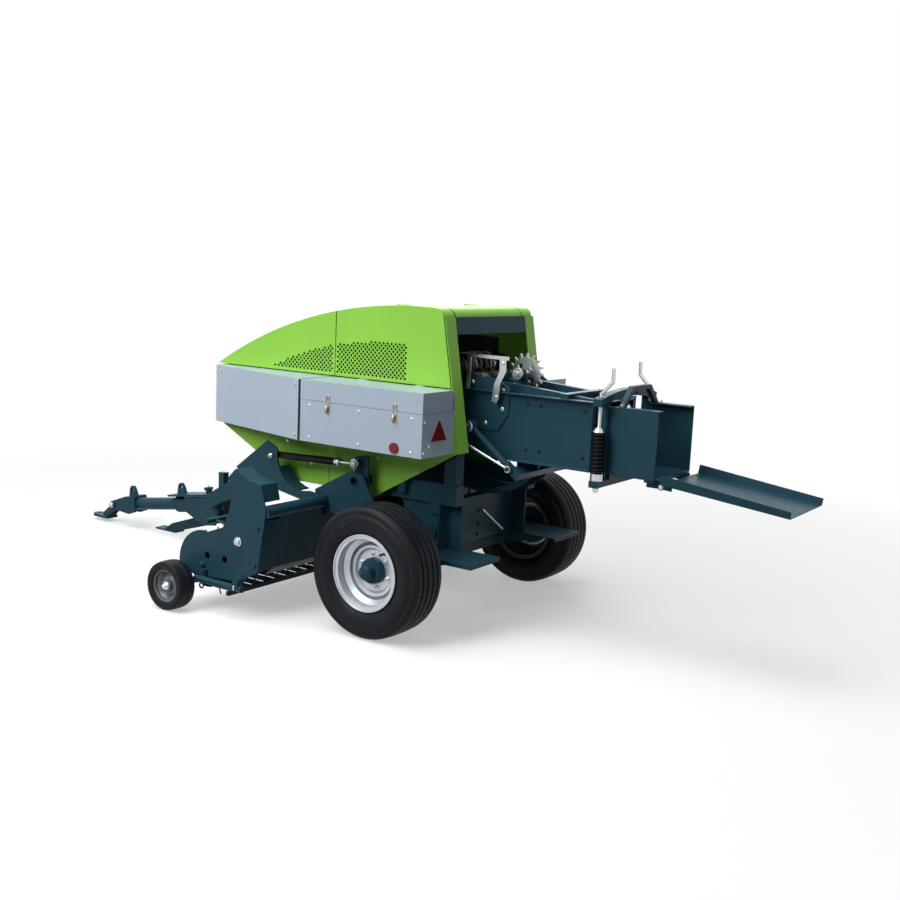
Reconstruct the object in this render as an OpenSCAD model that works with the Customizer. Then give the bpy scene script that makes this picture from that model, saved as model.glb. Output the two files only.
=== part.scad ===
// In-line small square baler, parked on its wheels and drawbar stand.
// Axes: +X forward, +Y to the machine's left, +Z up, ground at Z = 0, millimetres.
// Module values are measured from the axle; place() moves the whole to the box centre.

/* [Main wheels] */
// Tyre diameter over the tread
tyre_d = 760; // [730:5:780]
// Tyre section width
tyre_w = 264; // [240:2:280]
// Rim flange diameter
rim_d = 440; // [424:2:450]
// Distance between the tyre centres
track = 1680; // [1660:10:1760]

/* [Pickup] */
// Width over the end plates
pickup_w = 2260; // [2200:10:2320]
// Pickup pivot ahead of the axle
pivot_x = 600; // [590:2:610]
// Pickup pivot height
pivot_z = 655; // [650:1:662]
// Tine reel axis ahead of the axle
reel_x = 1080; // [1075:1:1086]
// Tine reel axis height
reel_z = 270; // [266:1:276]
// Radius of the tine tips
tine_r = 200; // [190:2:204]
// Feed auger flight radius
auger_r = 122; // [112:1:126]
// Gauge wheel diameter
gauge_d = 296; // [280:2:310]
// Gauge wheel width
gauge_w = 126; // [110:2:134]

/* [Bale chamber] */
// Bale width
bale_w = 460; // [440:5:470]
// Bale height
bale_h = 360; // [350:2:370]
// Chamber floor height
floor_z = 1010; // [1004:1:1016]
// Chamber end behind the axle
chamber_rear = 1000; // [980:5:1040]
// Length of the tension section
tension_l = 372; // [350:4:400]
// Discharge chute length
chute_l = 720; // [640:10:800]
// Chute slope in degrees
chute_slope = 6; // [3:1:8]

/* [Hood] */
// Hood width
hood_w = 960; // [950:5:990]
// Roof crest height
roof_z = 1852; // [1830:2:1880]
// Front tip of the hood roof ahead of the axle
hood_nose = 1640; // [1620:5:1680]
// Underside of the belt of boxes
belt_z = 1035; // [1030:1:1042]
// Height of the belt of boxes
belt_h = 362; // [350:2:370]
// Hood rear edge behind the axle
hood_rear = 220; // [210:2:226]
// Seam between front and rear panels
seam_x = 650; // [640:2:670]
// Depth of a twine box
box_d = 305; // [290:5:320]
// Height of a twine box lid
lid_h = 117; // [100:1:130]
// Spacing of the vent perforation
vent_pitch = 30; // [28:1:44]

/* [Drawbar] */
// Downward slope of the parked drawbar in degrees
drawbar_tilt = 8.6; // [7.6:0.1:8.8]
// Drawbar tube diameter
drawbar_d = 92; // [84:2:100]
// Length from root to hitch pivot
drawbar_l = 1120; // [1060:10:1130]

/* [Hidden] */
$fn = 72;

sheet = 4;
plate = 8;
fit = 0.3;
play = 6;
green = [0.50, 0.72, 0.22];
teal = [0.16, 0.28, 0.31];
grey = [0.62, 0.68, 0.73];
black = [0.06, 0.06, 0.07];
steel = [0.72, 0.73, 0.74];
red = [0.75, 0.08, 0.08];

// wheels
tyre_r = tyre_d / 2;
rim_r = rim_d / 2;
seat_r = rim_r - 19;
wheel_y = track / 2;
spindle_r = 30;
hub_in = 44;

// frame
rail_w = 80;
rail_h = 120;
rail_z = 720;
rail_top = rail_z + rail_h;
rail_out = hood_w / 2 - 40;
rail_in = rail_out - rail_w;
rail_rear = -250;
rail_front = 1200;
nose_x = rail_front + 100;

// hood and hull
hood_y = hood_w / 2;
belt_top = belt_z + belt_h;
crest_x = 50;
rake = 0.175;
hinge_y = hood_y - 120;
hinge_z = roof_z - 6;
hinge_x = [0, 240];
hinge_pin = 3;
hinge_r = 7;
hood_z = belt_top + 6;
roof_h = roof_z - hood_z;
roof_r = ((hood_nose - crest_x) * (hood_nose - crest_x) + roof_h * roof_h) / (2 * roof_h);
vent_rise = 0.532 * roof_h;
vent_r = 0.34 * vent_pitch;
rear_gap = 12;
corner_r = 60;
corner_x = rear_edge(roof_z - corner_r) + rear_gap + corner_r * sqrt(1 + rake * rake);
corner_z = roof_at(corner_x) - corner_r;
lip_z = corner_z + corner_r * sin(atan(rake));
lower_seam = 673;
nose_top = belt_z - 25;
nose_end = hood_nose - 50;
belly_front = 1000;
belly_rear = 294;
belly_z = 717;
chin_x = nose_x + 45;
chin_z = belly_z + (nose_top - belly_z) * (chin_x - belly_front) / (nose_end - belly_front);
shield_front = nose_end + 14;
shield_rear = seam_x + 18;
input_z = belt_z + 130;
stub_x = 372;
stub_z = 805;
stub_r = 32;

// chamber
wall = 8;
bale_y = bale_w / 2;
wall_y = bale_y + wall;
floor_low = floor_z - wall;
roof_in = floor_z + bale_h;
wall_top = roof_in + 20;
chamber_front = 920;
tension_end = -(chamber_rear + tension_l);
feed_front = 900;
feed_rear = 430;
needle_y = 100;
star_x = -410;
star_r = 120;
star_z = roof_in + 115;

// chute
chute_in = wall_y + 14;
chute_up = 24;
chute_x = tension_end - play - chute_up - 4;
chute_z = floor_low - 30;
rear_x = chute_x - chute_l * cos(chute_slope) - (chute_up + 34) * sin(chute_slope);

// needle yoke
yoke_x = -228;
yoke_z = 1177;
needle_r = 400;
arm_y = wall_y + 52;
yoke_a = 217;
link_r = 356;
post_x = yoke_x;
post_in = max(rail_in, arm_y + 44);
strip_in = max(hood_y - 100, arm_y + 40);

// drawbar
root_x = 2100;
root_z = 324;
link_run = 145;
link_drop = 118;
eye_l = 138;
pin_x = root_x + drawbar_l * cos(drawbar_tilt);
pin_z = root_z - drawbar_l * sin(drawbar_tilt);
eye_x = pin_x + link_run + eye_l - 46;
eye_z = pin_z - link_drop;
hitch_r = 16;
cheek_in = drawbar_d / 2 + 16;
cheek_out = cheek_in + 16;
front_x = pin_x + link_run + eye_l;
stand_x = root_x + 60;
stand_z = root_z - 120;
stand_y = cheek_out + 18;
foot_x = stand_x + 610;

// pickup
end_y = pickup_w / 2;
cross_r = 38;
hanger_y = 600;
arm_in = hanger_y + 26;
auger_x = 796;
auger_z = 455;
trough_r = auger_r + 14;
band_r = 158;
band_w = 80;
band_pitch = 100;
bands = 2 * floor((end_y - 60 - band_w / 2) / band_pitch) + 1;
bar_r = 128;
guard_x = reel_x + 40;
guard_z = reel_z + 245;
lift_x = 1009;
lift_z = 884;
eye_pin_x = 372;
eye_pin_z = 911;
lift_len = norm([lift_x - eye_pin_x, lift_z - eye_pin_z]);
lift_tilt = atan2(eye_pin_z - lift_z, lift_x - eye_pin_x);
gauge_r = gauge_d / 2;
gauge_x = 1208;
gauge_y = end_y + 20 + gauge_w / 2 + 54;

mid_x = (front_x + rear_x) / 2;

module place() {
    translate([-mid_x, 0, 0]) children();
}

module both() {
    children();
    mirror([0, 1, 0]) children();
}

module side(s) {
    if (s > 0) children();
    else mirror([0, 1, 0]) children();
}

// a drawing in X and Z, given depth from y0 to y1
module slab(y0, y1) {
    translate([0, y1, 0]) rotate([90, 0, 0]) linear_extrude(y1 - y0) children();
}

module bar_y(x, z, r, y0, y1) {
    translate([x, y0, z]) rotate([-90, 0, 0]) cylinder(r = r, h = y1 - y0);
}

module bar_x(y, z, r, x0, x1) {
    translate([x0, y, z]) rotate([0, 90, 0]) cylinder(r = r, h = x1 - x0);
}

module box(x0, x1, y0, y1, z0, z1) {
    translate([x0, y0, z0]) cube([x1 - x0, y1 - y0, z1 - z0]);
}

// a turned piece: the drawing's x is the radius, its y runs along +Y
module turned(x, y, z) {
    translate([x, y, z]) rotate([-90, 0, 0]) rotate_extrude($fn = 96) children();
}

// a straight round rod between two points of one X-Z plane
module rod_xz(a, b, y, r) {
    translate([a[0], y, a[1]])
        rotate([0, 90 - atan2(b[1] - a[1], b[0] - a[0]), 0])
            cylinder(r = r, h = norm(b - a));
}

// rear edge of the hood at a height
function rear_edge(z) = -hood_rear + rake * (z - belt_top);
// roof height above a station
function roof_at(x) = roof_z - roof_r + sqrt(roof_r * roof_r - (x - crest_x) * (x - crest_x));
// upper limit of the vent perforation
function vent_top(x) = hood_z + vent_rise - 2100 + sqrt(2100 * 2100 - (x - 250) * (x - 250));

// half of the tyre section: sidewall, then shoulder
function tyre_side() = concat([[seat_r + fit, tyre_w / 2 - 32], [rim_r + 3, tyre_w / 2 - 28]],
    [for (i = [0:8])
        let (t = i / 8, r = rim_r + 8 + t * (tyre_r - 54 - rim_r))
        [r, tyre_w / 2 - 22 * pow(abs(t - 0.58) / 0.58, 2)]]);
function tyre_shoulder() = [for (a = [20:14:90])
    [tyre_r - 43 + 40 * sin(a), tyre_w / 2 - 42 + 40 * cos(a)]];
function tyre_half() = concat(tyre_side(), tyre_shoulder(), [[tyre_r, 0]]);
function flip(list) = [for (i = [len(list) - 1:-1:0]) [list[i][0], -list[i][1]]];

module tyre(s) {
    groove = [-66, -24, 24, 66];
    color(black) side(s) turned(0, wheel_y, tyre_r) difference() {
        polygon(concat(tyre_half(), flip(tyre_half())));
        for (y = groove) translate([tyre_r - 14, y - 7]) square([20, 14]);
        translate([seat_r - 30, -tyre_w / 2 + 62]) square([70, tyre_w - 124]);
    }
}

module rim(s) {
    w = tyre_w / 2 - 17;
    outer = [[-w, rim_r], [-w + 7, rim_r], [-w + 9, seat_r], [-w + 48, seat_r - 2],
        [-w + 66, seat_r - 30], [w - 80, seat_r - 30], [w - 60, seat_r - 2], [w - 9, seat_r],
        [w - 7, rim_r], [w, rim_r]];
    inner = [for (i = [len(outer) - 1:-1:0]) [outer[i][0], outer[i][1] - 7]];
    ring = [for (p = concat(outer, inner)) [p[1], p[0]]];
    disc = [[75, 14], [118, 14], [130, 30], [146, 30], [seat_r - 40, 2], [seat_r - 34, 2],
        [seat_r - 34, -12], [seat_r - 48, -12], [142, 18], [134, 18], [122, 2], [75, 2]];
    color(steel) side(s) turned(0, wheel_y, tyre_r) union() {
        polygon(ring);
        polygon(disc);
    }
}

module hub(s) {
    color(teal) side(s) difference() {
        turned(0, wheel_y, tyre_r)
            polygon([[0, -hub_in], [60, -hub_in], [70, -20], [120, -14], [120, 1.7], [74.7, 1.7],
                [74.7, 44], [66, 60], [42, 62], [40, 108], [32, 114], [0, 114]]);
        bar_y(0, tyre_r, spindle_r + fit, wheel_y - hub_in - 1, wheel_y + 41);
    }
}

module axle_beam() {
    half = wheel_y - hub_in - play;
    color(teal) {
        box(-45, 45, -half, half, tyre_r - 45, tyre_r + 45);
        both() bar_y(0, tyre_r, spindle_r, half - 1, wheel_y + 40);
    }
}

module frame_rails() {
    color(teal) both() box(rail_rear, rail_front, rail_in, rail_out, rail_z, rail_top);
}

module cross_members() {
    drop = [[-150, rail_z], [150, rail_z], [70, tyre_r + 45], [-70, tyre_r + 45]];
    brace = [240, 900];
    apron_x = -128;
    color(teal) {
        box(rail_front, nose_x, -rail_out, rail_out, rail_z, rail_top);
        for (x = brace) box(x - 40, x + 40, -rail_in, rail_in, rail_z + 10, rail_top - 20);
        box(apron_x, apron_x + 60, -rail_out, rail_out, rail_z - 60, rail_z);
        both() slab(rail_in + 20, rail_out - 20) polygon(drop);
        for (x = [300, 860]) box(x - 40, x + 40, -wall_y - 60, wall_y + 60, rail_top - 20, floor_low);
        both() box(post_x - 12, post_x + 68, post_in, rail_out, rail_top, yoke_z + 60);
        box(apron_x - plate, apron_x, -rail_out, rail_out, tyre_r + 60, rail_z);
        both() for (x = [120, 1060]) box(x - 25, x + 25, rail_out, hood_y - sheet, rail_z + 40, rail_top);
    }
}

module gooseneck() {
    spine = [[nose_x, rail_top], [nose_x + 60, rail_top], [root_x - 20, root_z + 96],
        [root_x - 20, root_z - 20], [nose_x + 30, rail_z], [nose_x, rail_z]];
    color(teal) {
        both() slab(cheek_out, cheek_out + 60) polygon(spine);
        box(root_x - 115, root_x - 75, -cheek_out, cheek_out, root_z - 20, root_z + 90);
        box(root_x - 75, root_x - 50, -25, 25, root_z - 20, root_z + 90);
        difference() {
            box(root_x - 51, root_x - 1, -25, 25, root_z - 120, root_z + 226);
            box(root_x - 46, root_x - 6, -20, 20, root_z - 119, root_z + 225);
        }
        box(root_x - 54, root_x + 2, -28, 28, root_z + 226, root_z + 232);
    }
}

module pickup_hangers() {
    blade = [[stub_x - 143, 712], [stub_x - 150, 640], [pivot_x - 90, pivot_z - 70],
        [pivot_x + 20, pivot_z - 62], [pivot_x + 70, pivot_z - 20], [pivot_x + 74, pivot_z + 62],
        [stub_x + 32, 861], [stub_x - 63, 847]];
    ear = [[stub_x - 72, 740], [stub_x + 40, 740], [eye_pin_x + 30, eye_pin_z + 34],
        [eye_pin_x - 30, eye_pin_z + 50], [stub_x - 72, eye_pin_z + 50]];
    color(teal) both() {
        difference() {
            union() {
                slab(hanger_y - 6, hanger_y + 6) polygon(blade);
                slab(hanger_y - 46, hanger_y - 36) polygon(ear);
                bar_y(stub_x, stub_z, stub_r, rail_out, hanger_y + 10);
                bar_y(eye_pin_x, eye_pin_z, 12, hanger_y - 40, hanger_y + 22);
            }
            bar_y(pivot_x, pivot_z, cross_r + fit, hanger_y - 20, hanger_y + 20);
            bar_y(stub_x, stub_z, stub_r - 7, hanger_y - 30, hanger_y + 12);
        }
    }
}

module steps() {
    top = 447;
    y0 = rail_in - 42;
    y1 = y0 + 300;
    rear = -490;
    front = -140;
    color(teal) both() {
        box(rear, front, y0, y1, top - 5, top);
        box(rear, rear + 5, y0, y1, top - 24, top - 5);
        box(rear, front, y1 - 5, y1, top - 24, top - 5);
        box(rail_rear + 10, front, rail_in - 10, rail_in, top, rail_z + 50);
        slab(y0 + 30, y0 + 36) polygon([[front, top - 5], [front, top - 90], [rear + 60, top - 5]]);
        slab(y0 + 160, y0 + 166) polygon([[front, top - 5], [front, top - 90], [rear + 60, top - 5]]);
        box(front - 6, front, y0 + 30, y0 + 166, top - 90, top - 5);
    }
}

// the drawbar's own frame: x along the tube, origin at its root
module drawbar_frame() {
    translate([root_x, 0, root_z]) rotate([0, drawbar_tilt, 0]) children();
}

module drawbar() {
    horn_x = drawbar_l - 190;
    front_lug = horn_x + 10;
    rear_lug = 394;
    tube = drawbar_d / 2;
    cheek = [[-50, -40], [0, -150], [120, -150], [200, -104], [290, -50], [290, 62], [20, 62], [-50, 40]];
    lug = [[-44, 0], [44, 0], [30, 50], [14, 78], [-14, 78], [-30, 50]];
    horn = [[-60, -58], [20, -74], [drawbar_l - horn_x + 28, -26], [drawbar_l - horn_x + 28, 26],
        [40, 62], [-60, 62]];
    color(teal) drawbar_frame() {
        difference() {
            union() {
                both() slab(cheek_in, cheek_out) polygon(cheek);
                box(24, 470, -cheek_out - 2, cheek_out + 2, 62, 76);
                box(24, 200, -cheek_out - 2, cheek_out + 2, -118, -104);
                rotate([0, 90, 0]) translate([0, 0, 230]) cylinder(r = cheek_in + 2, h = 200);
                rotate([0, 90, 0]) translate([0, 0, 200]) cylinder(r = tube, h = horn_x - 170);
                translate([rear_lug, 0, 76]) slab(-11, 11) polygon(lug);
                translate([110, 0, 40]) cylinder(r = 24, h = 60);
                translate([110, 0, 100]) cylinder(r = 34, h = 20, $fn = 6);
                translate([horn_x, 0, 0]) slab(-tube - 16, -tube) polygon(horn);
                translate([horn_x, 0, 0]) slab(tube, tube + 16) polygon(horn);
                box(horn_x - 56, horn_x + 38, -tube, tube, 40, 62);
                translate([front_lug, 0, 60]) slab(-11, 11) polygon(lug);
                bar_y(drawbar_l, 0, 14, -76, 76);
            }
            bar_y(rear_lug, 124, 15, -40, 40);
            bar_y(front_lug, 108, 15, -50, 50);
        }
    }
}

module hitch_link() {
    lean = atan2(link_drop, link_run);
    strap = norm([link_run, link_drop]);
    color(teal) difference() {
        union() {
            translate([pin_x, 0, pin_z]) rotate([0, lean, 0]) both() slab(22, 38) union() {
                circle(r = 30);
                translate([0, -26]) square([strap - 10, 52]);
            }
            box(pin_x + link_run - 60, eye_x, -50, 50, eye_z - 10, eye_z + 10);
            translate([eye_x, 0, eye_z - 10]) cylinder(r = 46, h = 20);
            box(pin_x + link_run - 64, pin_x + link_run - 30, -22, 22, eye_z + 10, eye_z + 48);
        }
        bar_y(pin_x, pin_z, 14 + fit, -50, 50);
        translate([eye_x, 0, eye_z - 20]) cylinder(r = hitch_r, h = 40);
        box(pin_x, front_x, -60, 60, eye_z - 60, eye_z - 10);
    }
}

module parking_stand() {
    sole = 12;
    blade = [[stand_x - 34, stand_z + 30], [stand_x + 34, stand_z + 34], [foot_x - 60, 66],
        [foot_x + 20, sole], [foot_x - 110, sole], [stand_x - 34, stand_z - 34]];
    color(teal) mirror([0, 1, 0]) {
        difference() {
            slab(stand_y - 6, stand_y + 6) polygon(blade);
            bar_y(stand_x, stand_z, 12 + fit, 0, 200);
        }
        box(foot_x - 110, foot_x + 110, stand_y - 20, stand_y + 70, 0, sole);
    }
}

module stand_pin() {
    mirror([0, 1, 0]) bar_y(stand_x, stand_z, 12, cheek_in + 2, stand_y + 24);
}

module lower_hull() {
    profile = [[rear_edge(belt_top) + 6, belt_top], [nose_end, belt_top], [nose_end, nose_top],
        [belly_front, belly_z], [belly_rear, belly_z], [rear_edge(belt_z) + 6, belt_z + 4]];
    color(green) {
        both() difference() {
            slab(hood_y - sheet, hood_y) polygon(profile);
            box(lower_seam - 2, lower_seam + 2, 0, hood_w, 0, 2000);
            bar_y(stub_x, stub_z, stub_r + 4, 0, hood_w);
        }
        slab(-hood_y + sheet, hood_y - sheet)
            polygon([[nose_end, nose_top], [nose_end - sheet, nose_top],
                [chin_x, chin_z + sheet], [chin_x, chin_z]]);
    }
}

// what lies under the roof arc, cut back by t, between two stations
module under_roof(t, x0, x1, z0) {
    intersection() {
        translate([crest_x, roof_z - roof_r]) circle(r = roof_r - t, $fn = 256);
        polygon([[x0, z0], [x1, z0], [x1, roof_z + 10], [x0, roof_z + 10]]);
    }
}

module rear_cut(z0) {
    polygon([[rear_edge(z0) + rear_gap, z0], [rear_edge(z0) - 400, z0],
        [rear_edge(roof_z + 20) - 400, roof_z + 20], [rear_edge(roof_z + 20) + rear_gap, roof_z + 20]]);
}

// what the rounded rear edge of the roof takes away, t inside its skin
module rear_corner(t) {
    foot = [rear_edge(lip_z) + rear_gap, lip_z];
    difference() {
        polygon([foot, [corner_x, corner_z], [corner_x, roof_z + 60], [foot[0] - 60, roof_z + 60],
            [foot[0] - 60, lip_z]]);
        translate([corner_x, corner_z]) circle(r = corner_r - t);
    }
}

// the hood's side outline, t inside its skin, with the rear corner rounded
module hood_side(t, x0, x1, z0) {
    difference() {
        under_roof(t, x0, x1, z0);
        rear_corner(t);
    }
}

module vent_holes(x0, x1) {
    for (i = [0:60]) for (j = [0:18]) {
        x = 120 + i * vent_pitch + (j % 2) * vent_pitch / 2;
        z = hood_z + 26 + j * vent_pitch / 2;
        if (x > x0 + 16 && x < x1 - 16 && z < vent_top(x) - 14)
            translate([x, z]) circle(r = vent_r, $fn = 4);
    }
}

module hood_front() {
    x0 = seam_x + 3;
    color(green) difference() {
        slab(-hood_y, hood_y) under_roof(0, x0, hood_nose + 100, hood_z);
        slab(-hood_y + sheet, hood_y - sheet) under_roof(sheet, x0 - 5, hood_nose + 100, hood_z - 5);
        slab(-hood_w, hood_w) vent_holes(x0, hood_nose);
    }
}

module hinge_pins() {
    color(green) for (x = hinge_x) both() {
        bar_x(hinge_y, hinge_z, hinge_pin, x - 46, x + 46);
        for (e = [x - 46, x + 34])
            box(e, e + 12, hinge_y - 16, hinge_y + 5, roof_at(x) - 20, hinge_z + 5);
    }
}

module roof_spine() {
    color(green) {
        difference() {
            slab(-hinge_y + 2, hinge_y - 2) hood_side(0, -400, seam_x + 3, hood_z);
            slab(-hood_w, hood_w) hood_side(sheet, -500, seam_x + 9, hood_z - 5);
            slab(-hood_w, hood_w) rear_cut(hood_z - 20);
            both() for (x = hinge_x) box(x - 31, x + 31, hinge_y - 11, hinge_y, hood_z, roof_z + 20);
        }
        hinge_pins();
    }
}

module hood_door(s) {
    color(green) side(s) difference() {
        union() {
            difference() {
                slab(hinge_y + 10, hood_y) hood_side(0, -400, seam_x - 3, hood_z);
                slab(0, hood_y - sheet) hood_side(sheet, -500, seam_x + 9, hood_z - 5);
                slab(-hood_w, hood_w) rear_cut(hood_z - 20);
                slab(0, hood_w) vent_holes(-400, seam_x - 3);
            }
            for (x = hinge_x) {
                bar_x(hinge_y, hinge_z, hinge_r, x - 28, x + 28);
                box(x - 28, x + 28, hinge_y, hinge_y + 26, hinge_z - 4, hinge_z + 2);
            }
        }
        for (x = hinge_x) bar_x(hinge_y, hinge_z, hinge_pin + fit, x - 60, x + 60);
    }
}

module rear_surround() {
    strip = [[rear_edge(belt_z), belt_z], [rear_edge(lip_z), lip_z], [rear_edge(lip_z) + 5, lip_z],
        [rear_edge(belt_z) + 5, belt_z]];
    color(green) both() slab(strip_in, hood_y) polygon(strip);
}

module rear_visor() {
    low = roof_z - 150;
    foot = lip_z - 20;
    top = lip_z - 1;
    color(teal) {
        slab(-strip_in, strip_in) polygon([[rear_edge(low), low], [rear_edge(top), top],
            [rear_edge(top) + 5, top], [rear_edge(low) + 5, low]]);
        slab(-hinge_y + 30, hinge_y - 30) polygon([[rear_edge(foot) + 5, foot], [rear_edge(top) + 5, top],
            [rear_edge(top) + 30, top], [rear_edge(top) + 30, foot]]);
    }
}

// plan of the shield, cut back by t
module shield_plan(t) {
    yb = hood_y + box_d - 1;
    yf = hood_y + 92;
    c = 60;
    polygon([[shield_rear - 2 * t, yb - t], [shield_front - c, yf - t], [shield_front - t, yf - c],
        [shield_front - t, -yf + c], [shield_front - c, -yf + t], [shield_rear - 2 * t, -yb + t]]);
    translate([shield_front - c, yf - c]) circle(r = c - t);
    translate([shield_front - c, -yf + c]) circle(r = c - t);
}

module front_shield() {
    color(grey) difference() {
        translate([0, 0, belt_z]) linear_extrude(belt_h) shield_plan(0);
        translate([0, 0, belt_z - 1]) linear_extrude(belt_h - sheet + 1) shield_plan(sheet);
        box(0, nose_end + 2, -hood_y, hood_y, belt_z - 5, belt_top + 5);
        bar_x(0, input_z, 92, nose_end, shield_front + 20);
    }
}

module twine_box(s) {
    y1 = hood_y + box_d;
    top = belt_top - lid_h;
    x1 = seam_x - 2;
    color(grey) side(s) {
        difference() {
            box(-hood_rear - 20, x1, hood_y, y1, belt_z, top);
            box(-hood_rear - 20 + sheet, x1 - sheet, hood_y + sheet, y1 - sheet, belt_z + sheet, top + 5);
        }
        box(-hood_rear - 20, x1, hood_y, hood_y + sheet, top, belt_top - 6);
        for (x = [0, 420]) {
            box(x - 40, x - 26, hood_y, hood_y + 16, belt_top - 30, belt_top + 1);
            box(x + 26, x + 40, hood_y, hood_y + 16, belt_top - 30, belt_top + 1);
            bar_x(hood_y + 12, belt_top, 3, x - 40, x + 40);
        }
    }
}

module twine_lid(s) {
    y1 = hood_y + box_d + 1;
    low = belt_top - lid_h + 1.5;
    x0 = -hood_rear - 21;
    x1 = seam_x - 1;
    color(grey) side(s) difference() {
        union() {
            difference() {
                box(x0, x1, hood_y + 18, y1, low, belt_top);
                box(x0 + sheet, x1 - sheet, 0, y1 - sheet, low - 5, belt_top - sheet);
            }
            for (x = [0, 420]) {
                bar_x(hood_y + 12, belt_top, 6, x - 24, x + 24);
                box(x - 24, x + 24, hood_y + 12, hood_y + 30, belt_top - sheet, belt_top + 4);
            }
        }
        for (x = [0, 420]) bar_x(hood_y + 12, belt_top, 3 + fit, x - 60, x + 60);
    }
}

module reflectors() {
    y1 = hood_y + box_d;
    z = belt_z + 120;
    color(red) both() {
        bar_y(-53, belt_z + 41, 30, y1, y1 + 10);
        translate([-hood_rear - 20, hood_y + 150, z + 20]) rotate([0, -90, 0]) linear_extrude(8)
            polygon([[-50, -70], [-50, 70], [62, 0]]);
    }
}

module gearbox() {
    rear = chamber_front + 30;
    front = nose_end - 250;
    wheel = nose_end - 160;
    color(teal) {
        box(rear, front, -bale_y + 10, bale_y - 10, floor_z - 60, roof_in - 10);
        box(rear + 10, front - 10, -rail_in + 20, rail_in - 20, rail_top, floor_z - 60);
        bar_x(0, input_z, 60, front, wheel);
        bar_x(0, input_z, 165, wheel, wheel + 100);
        bar_x(0, input_z, 40, wheel + 100, nose_end + 10);
        bar_x(0, input_z, 17.5, nose_end + 10, shield_front + 130);
    }
}

module shaft_guard() {
    color(black) translate([shield_front, 0, input_z]) rotate([0, 90, 0]) rotate_extrude()
        polygon([[86, 0], [110, 0], [110, 6], [96, 8], [86, 96], [80, 96], [88, 8], [86, 4]]);
}

module chamber_walls() {
    cheek = [[yoke_x + 59, wall_top + 72], [yoke_x - 139, wall_top + 74], [yoke_x - 226, wall_top + 15],
        [yoke_x - 222, yoke_z + 85], [yoke_x - 157, yoke_z - 13], [yoke_x + 43, yoke_z - 13]];
    color(teal) both() {
        box(-chamber_rear, chamber_front, bale_y, wall_y, floor_low, wall_top);
        slab(wall_y, wall_y + plate) polygon(cheek);
        box(-chamber_rear, rear_edge(wall_top) + 60, wall_y, wall_y + 34, wall_top - 6, wall_top);
        box(-chamber_rear, yoke_x - 60, wall_y, wall_y + 26, floor_low, floor_low + 6);
        box(-chamber_rear, -chamber_rear + 8, wall_y, wall_y + 26, floor_low + 6, wall_top - 6);
        box(tension_end, -chamber_rear - 57, bale_y, wall_y, floor_low, wall_top - 16);
        box(tension_end, -chamber_rear - 120, bale_y - 56, bale_y, wall_top - 22, wall_top - 16);
        bar_y(yoke_x, yoke_z, 20, wall_y, post_in);
    }
}

module chamber_floor() {
    slot = [yoke_x + 330, yoke_x + 420];
    color(teal) {
        difference() {
            box(tension_end, feed_rear, -bale_y, bale_y, floor_low, floor_z);
            both() box(slot[0], slot[1], needle_y - 22, needle_y + 22, 0, 2000);
        }
        box(tension_end, tension_end + 60, -bale_y, bale_y, floor_low - 14, floor_low);
        box(feed_front, chamber_front, -bale_y, bale_y, floor_low, floor_z);
        both() {
            box(chute_x + 12, tension_end, wall_y - 60, wall_y - 44, chute_z - 14, floor_low - 2);
            box(tension_end, tension_end + 60, wall_y - 60, wall_y - 44, chute_z - 14, floor_low - 14);
            difference() {
                bar_y(chute_x, chute_z, 16, wall_y - 60, wall_y - 44);
                bar_y(chute_x, chute_z, 8, 0, 400);
            }
            bar_y(chute_x, chute_z, 8, wall_y - 80, wall_y - 24);
        }
    }
}

module chamber_roof() {
    strips = [[-bale_y, -needle_y - 24], [-needle_y + 24, needle_y - 24], [needle_y + 24, bale_y]];
    bows = [-800, -150, 420, 880];
    rail = [[-150, roof_in + 8], [-chamber_rear - 40, roof_in + 8], [-chamber_rear - 40, roof_in + 16],
        [star_x - 10, roof_in + 66], [-150, roof_in + 66]];
    color(teal) difference() {
        union() {
            for (s = strips) box(-chamber_rear, chamber_front, s[0], s[1], roof_in, roof_in + 8);
            for (x = bows) box(x - 25, x + 25, -bale_y, bale_y, roof_in + 8, wall_top + 24);
            both() slab(134, 166) polygon(rail);
        }
        box(star_x - 90, star_x + 90, -24, 24, 0, 2000);
    }
}

// a drawing in Y and Z, given length from x0 to x1
module hoop(x0, x1) {
    translate([x0, 0, 0]) rotate([90, 0, 90]) linear_extrude(x1 - x0) children();
}

module tension_frame() {
    x0 = -chamber_rear - 92;
    x1 = -chamber_rear - 40;
    crown = roof_in + 88;
    arch_r = 1480;
    strap = [[bale_y - 8, wall_top - 16], [112, roof_in + 112], [-112, roof_in + 112],
        [-bale_y + 8, wall_top - 16], [-bale_y + 44, wall_top - 16], [-92, roof_in + 90],
        [92, roof_in + 90], [bale_y - 44, wall_top - 16]];
    color(teal) {
        difference() {
            union() {
                hoop(x0, x1) intersection() {
                    difference() {
                        translate([0, crown - arch_r]) circle(r = arch_r, $fn = 256);
                        translate([0, crown - arch_r]) circle(r = arch_r - 40, $fn = 256);
                    }
                    translate([-340, roof_in]) square([680, 200]);
                }
                box(x0, x1, -340, 340, floor_low - 66, floor_low - 30);
                both() box(x0, x1, bale_y - 90, bale_y - 30, floor_low - 30, floor_low);
                both() box(x0 + 6, x1 - 6, wall_y + 1, wall_y + 11, floor_low - 30, roof_in + 44);
            }
            both() translate([-chamber_rear - 64, 300, 0]) cylinder(r = 11 + fit, h = 2000);
        }
        hoop(x0 - 70, x0 - 40) polygon(strap);
    }
}

module tension_springs() {
    turns = 9;
    z0 = floor_low + 8;
    h = 228;
    color(black) both() translate([-chamber_rear - 64, 300, z0]) rotate_extrude() difference() {
        union() {
            translate([20, 0]) square([12, h]);
            for (i = [0:turns]) translate([30, 7 + i * (h - 14) / turns]) circle(r = 7, $fn = 24);
        }
        translate([0, -10]) square([11 + fit, h + 20]);
    }
}

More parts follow.
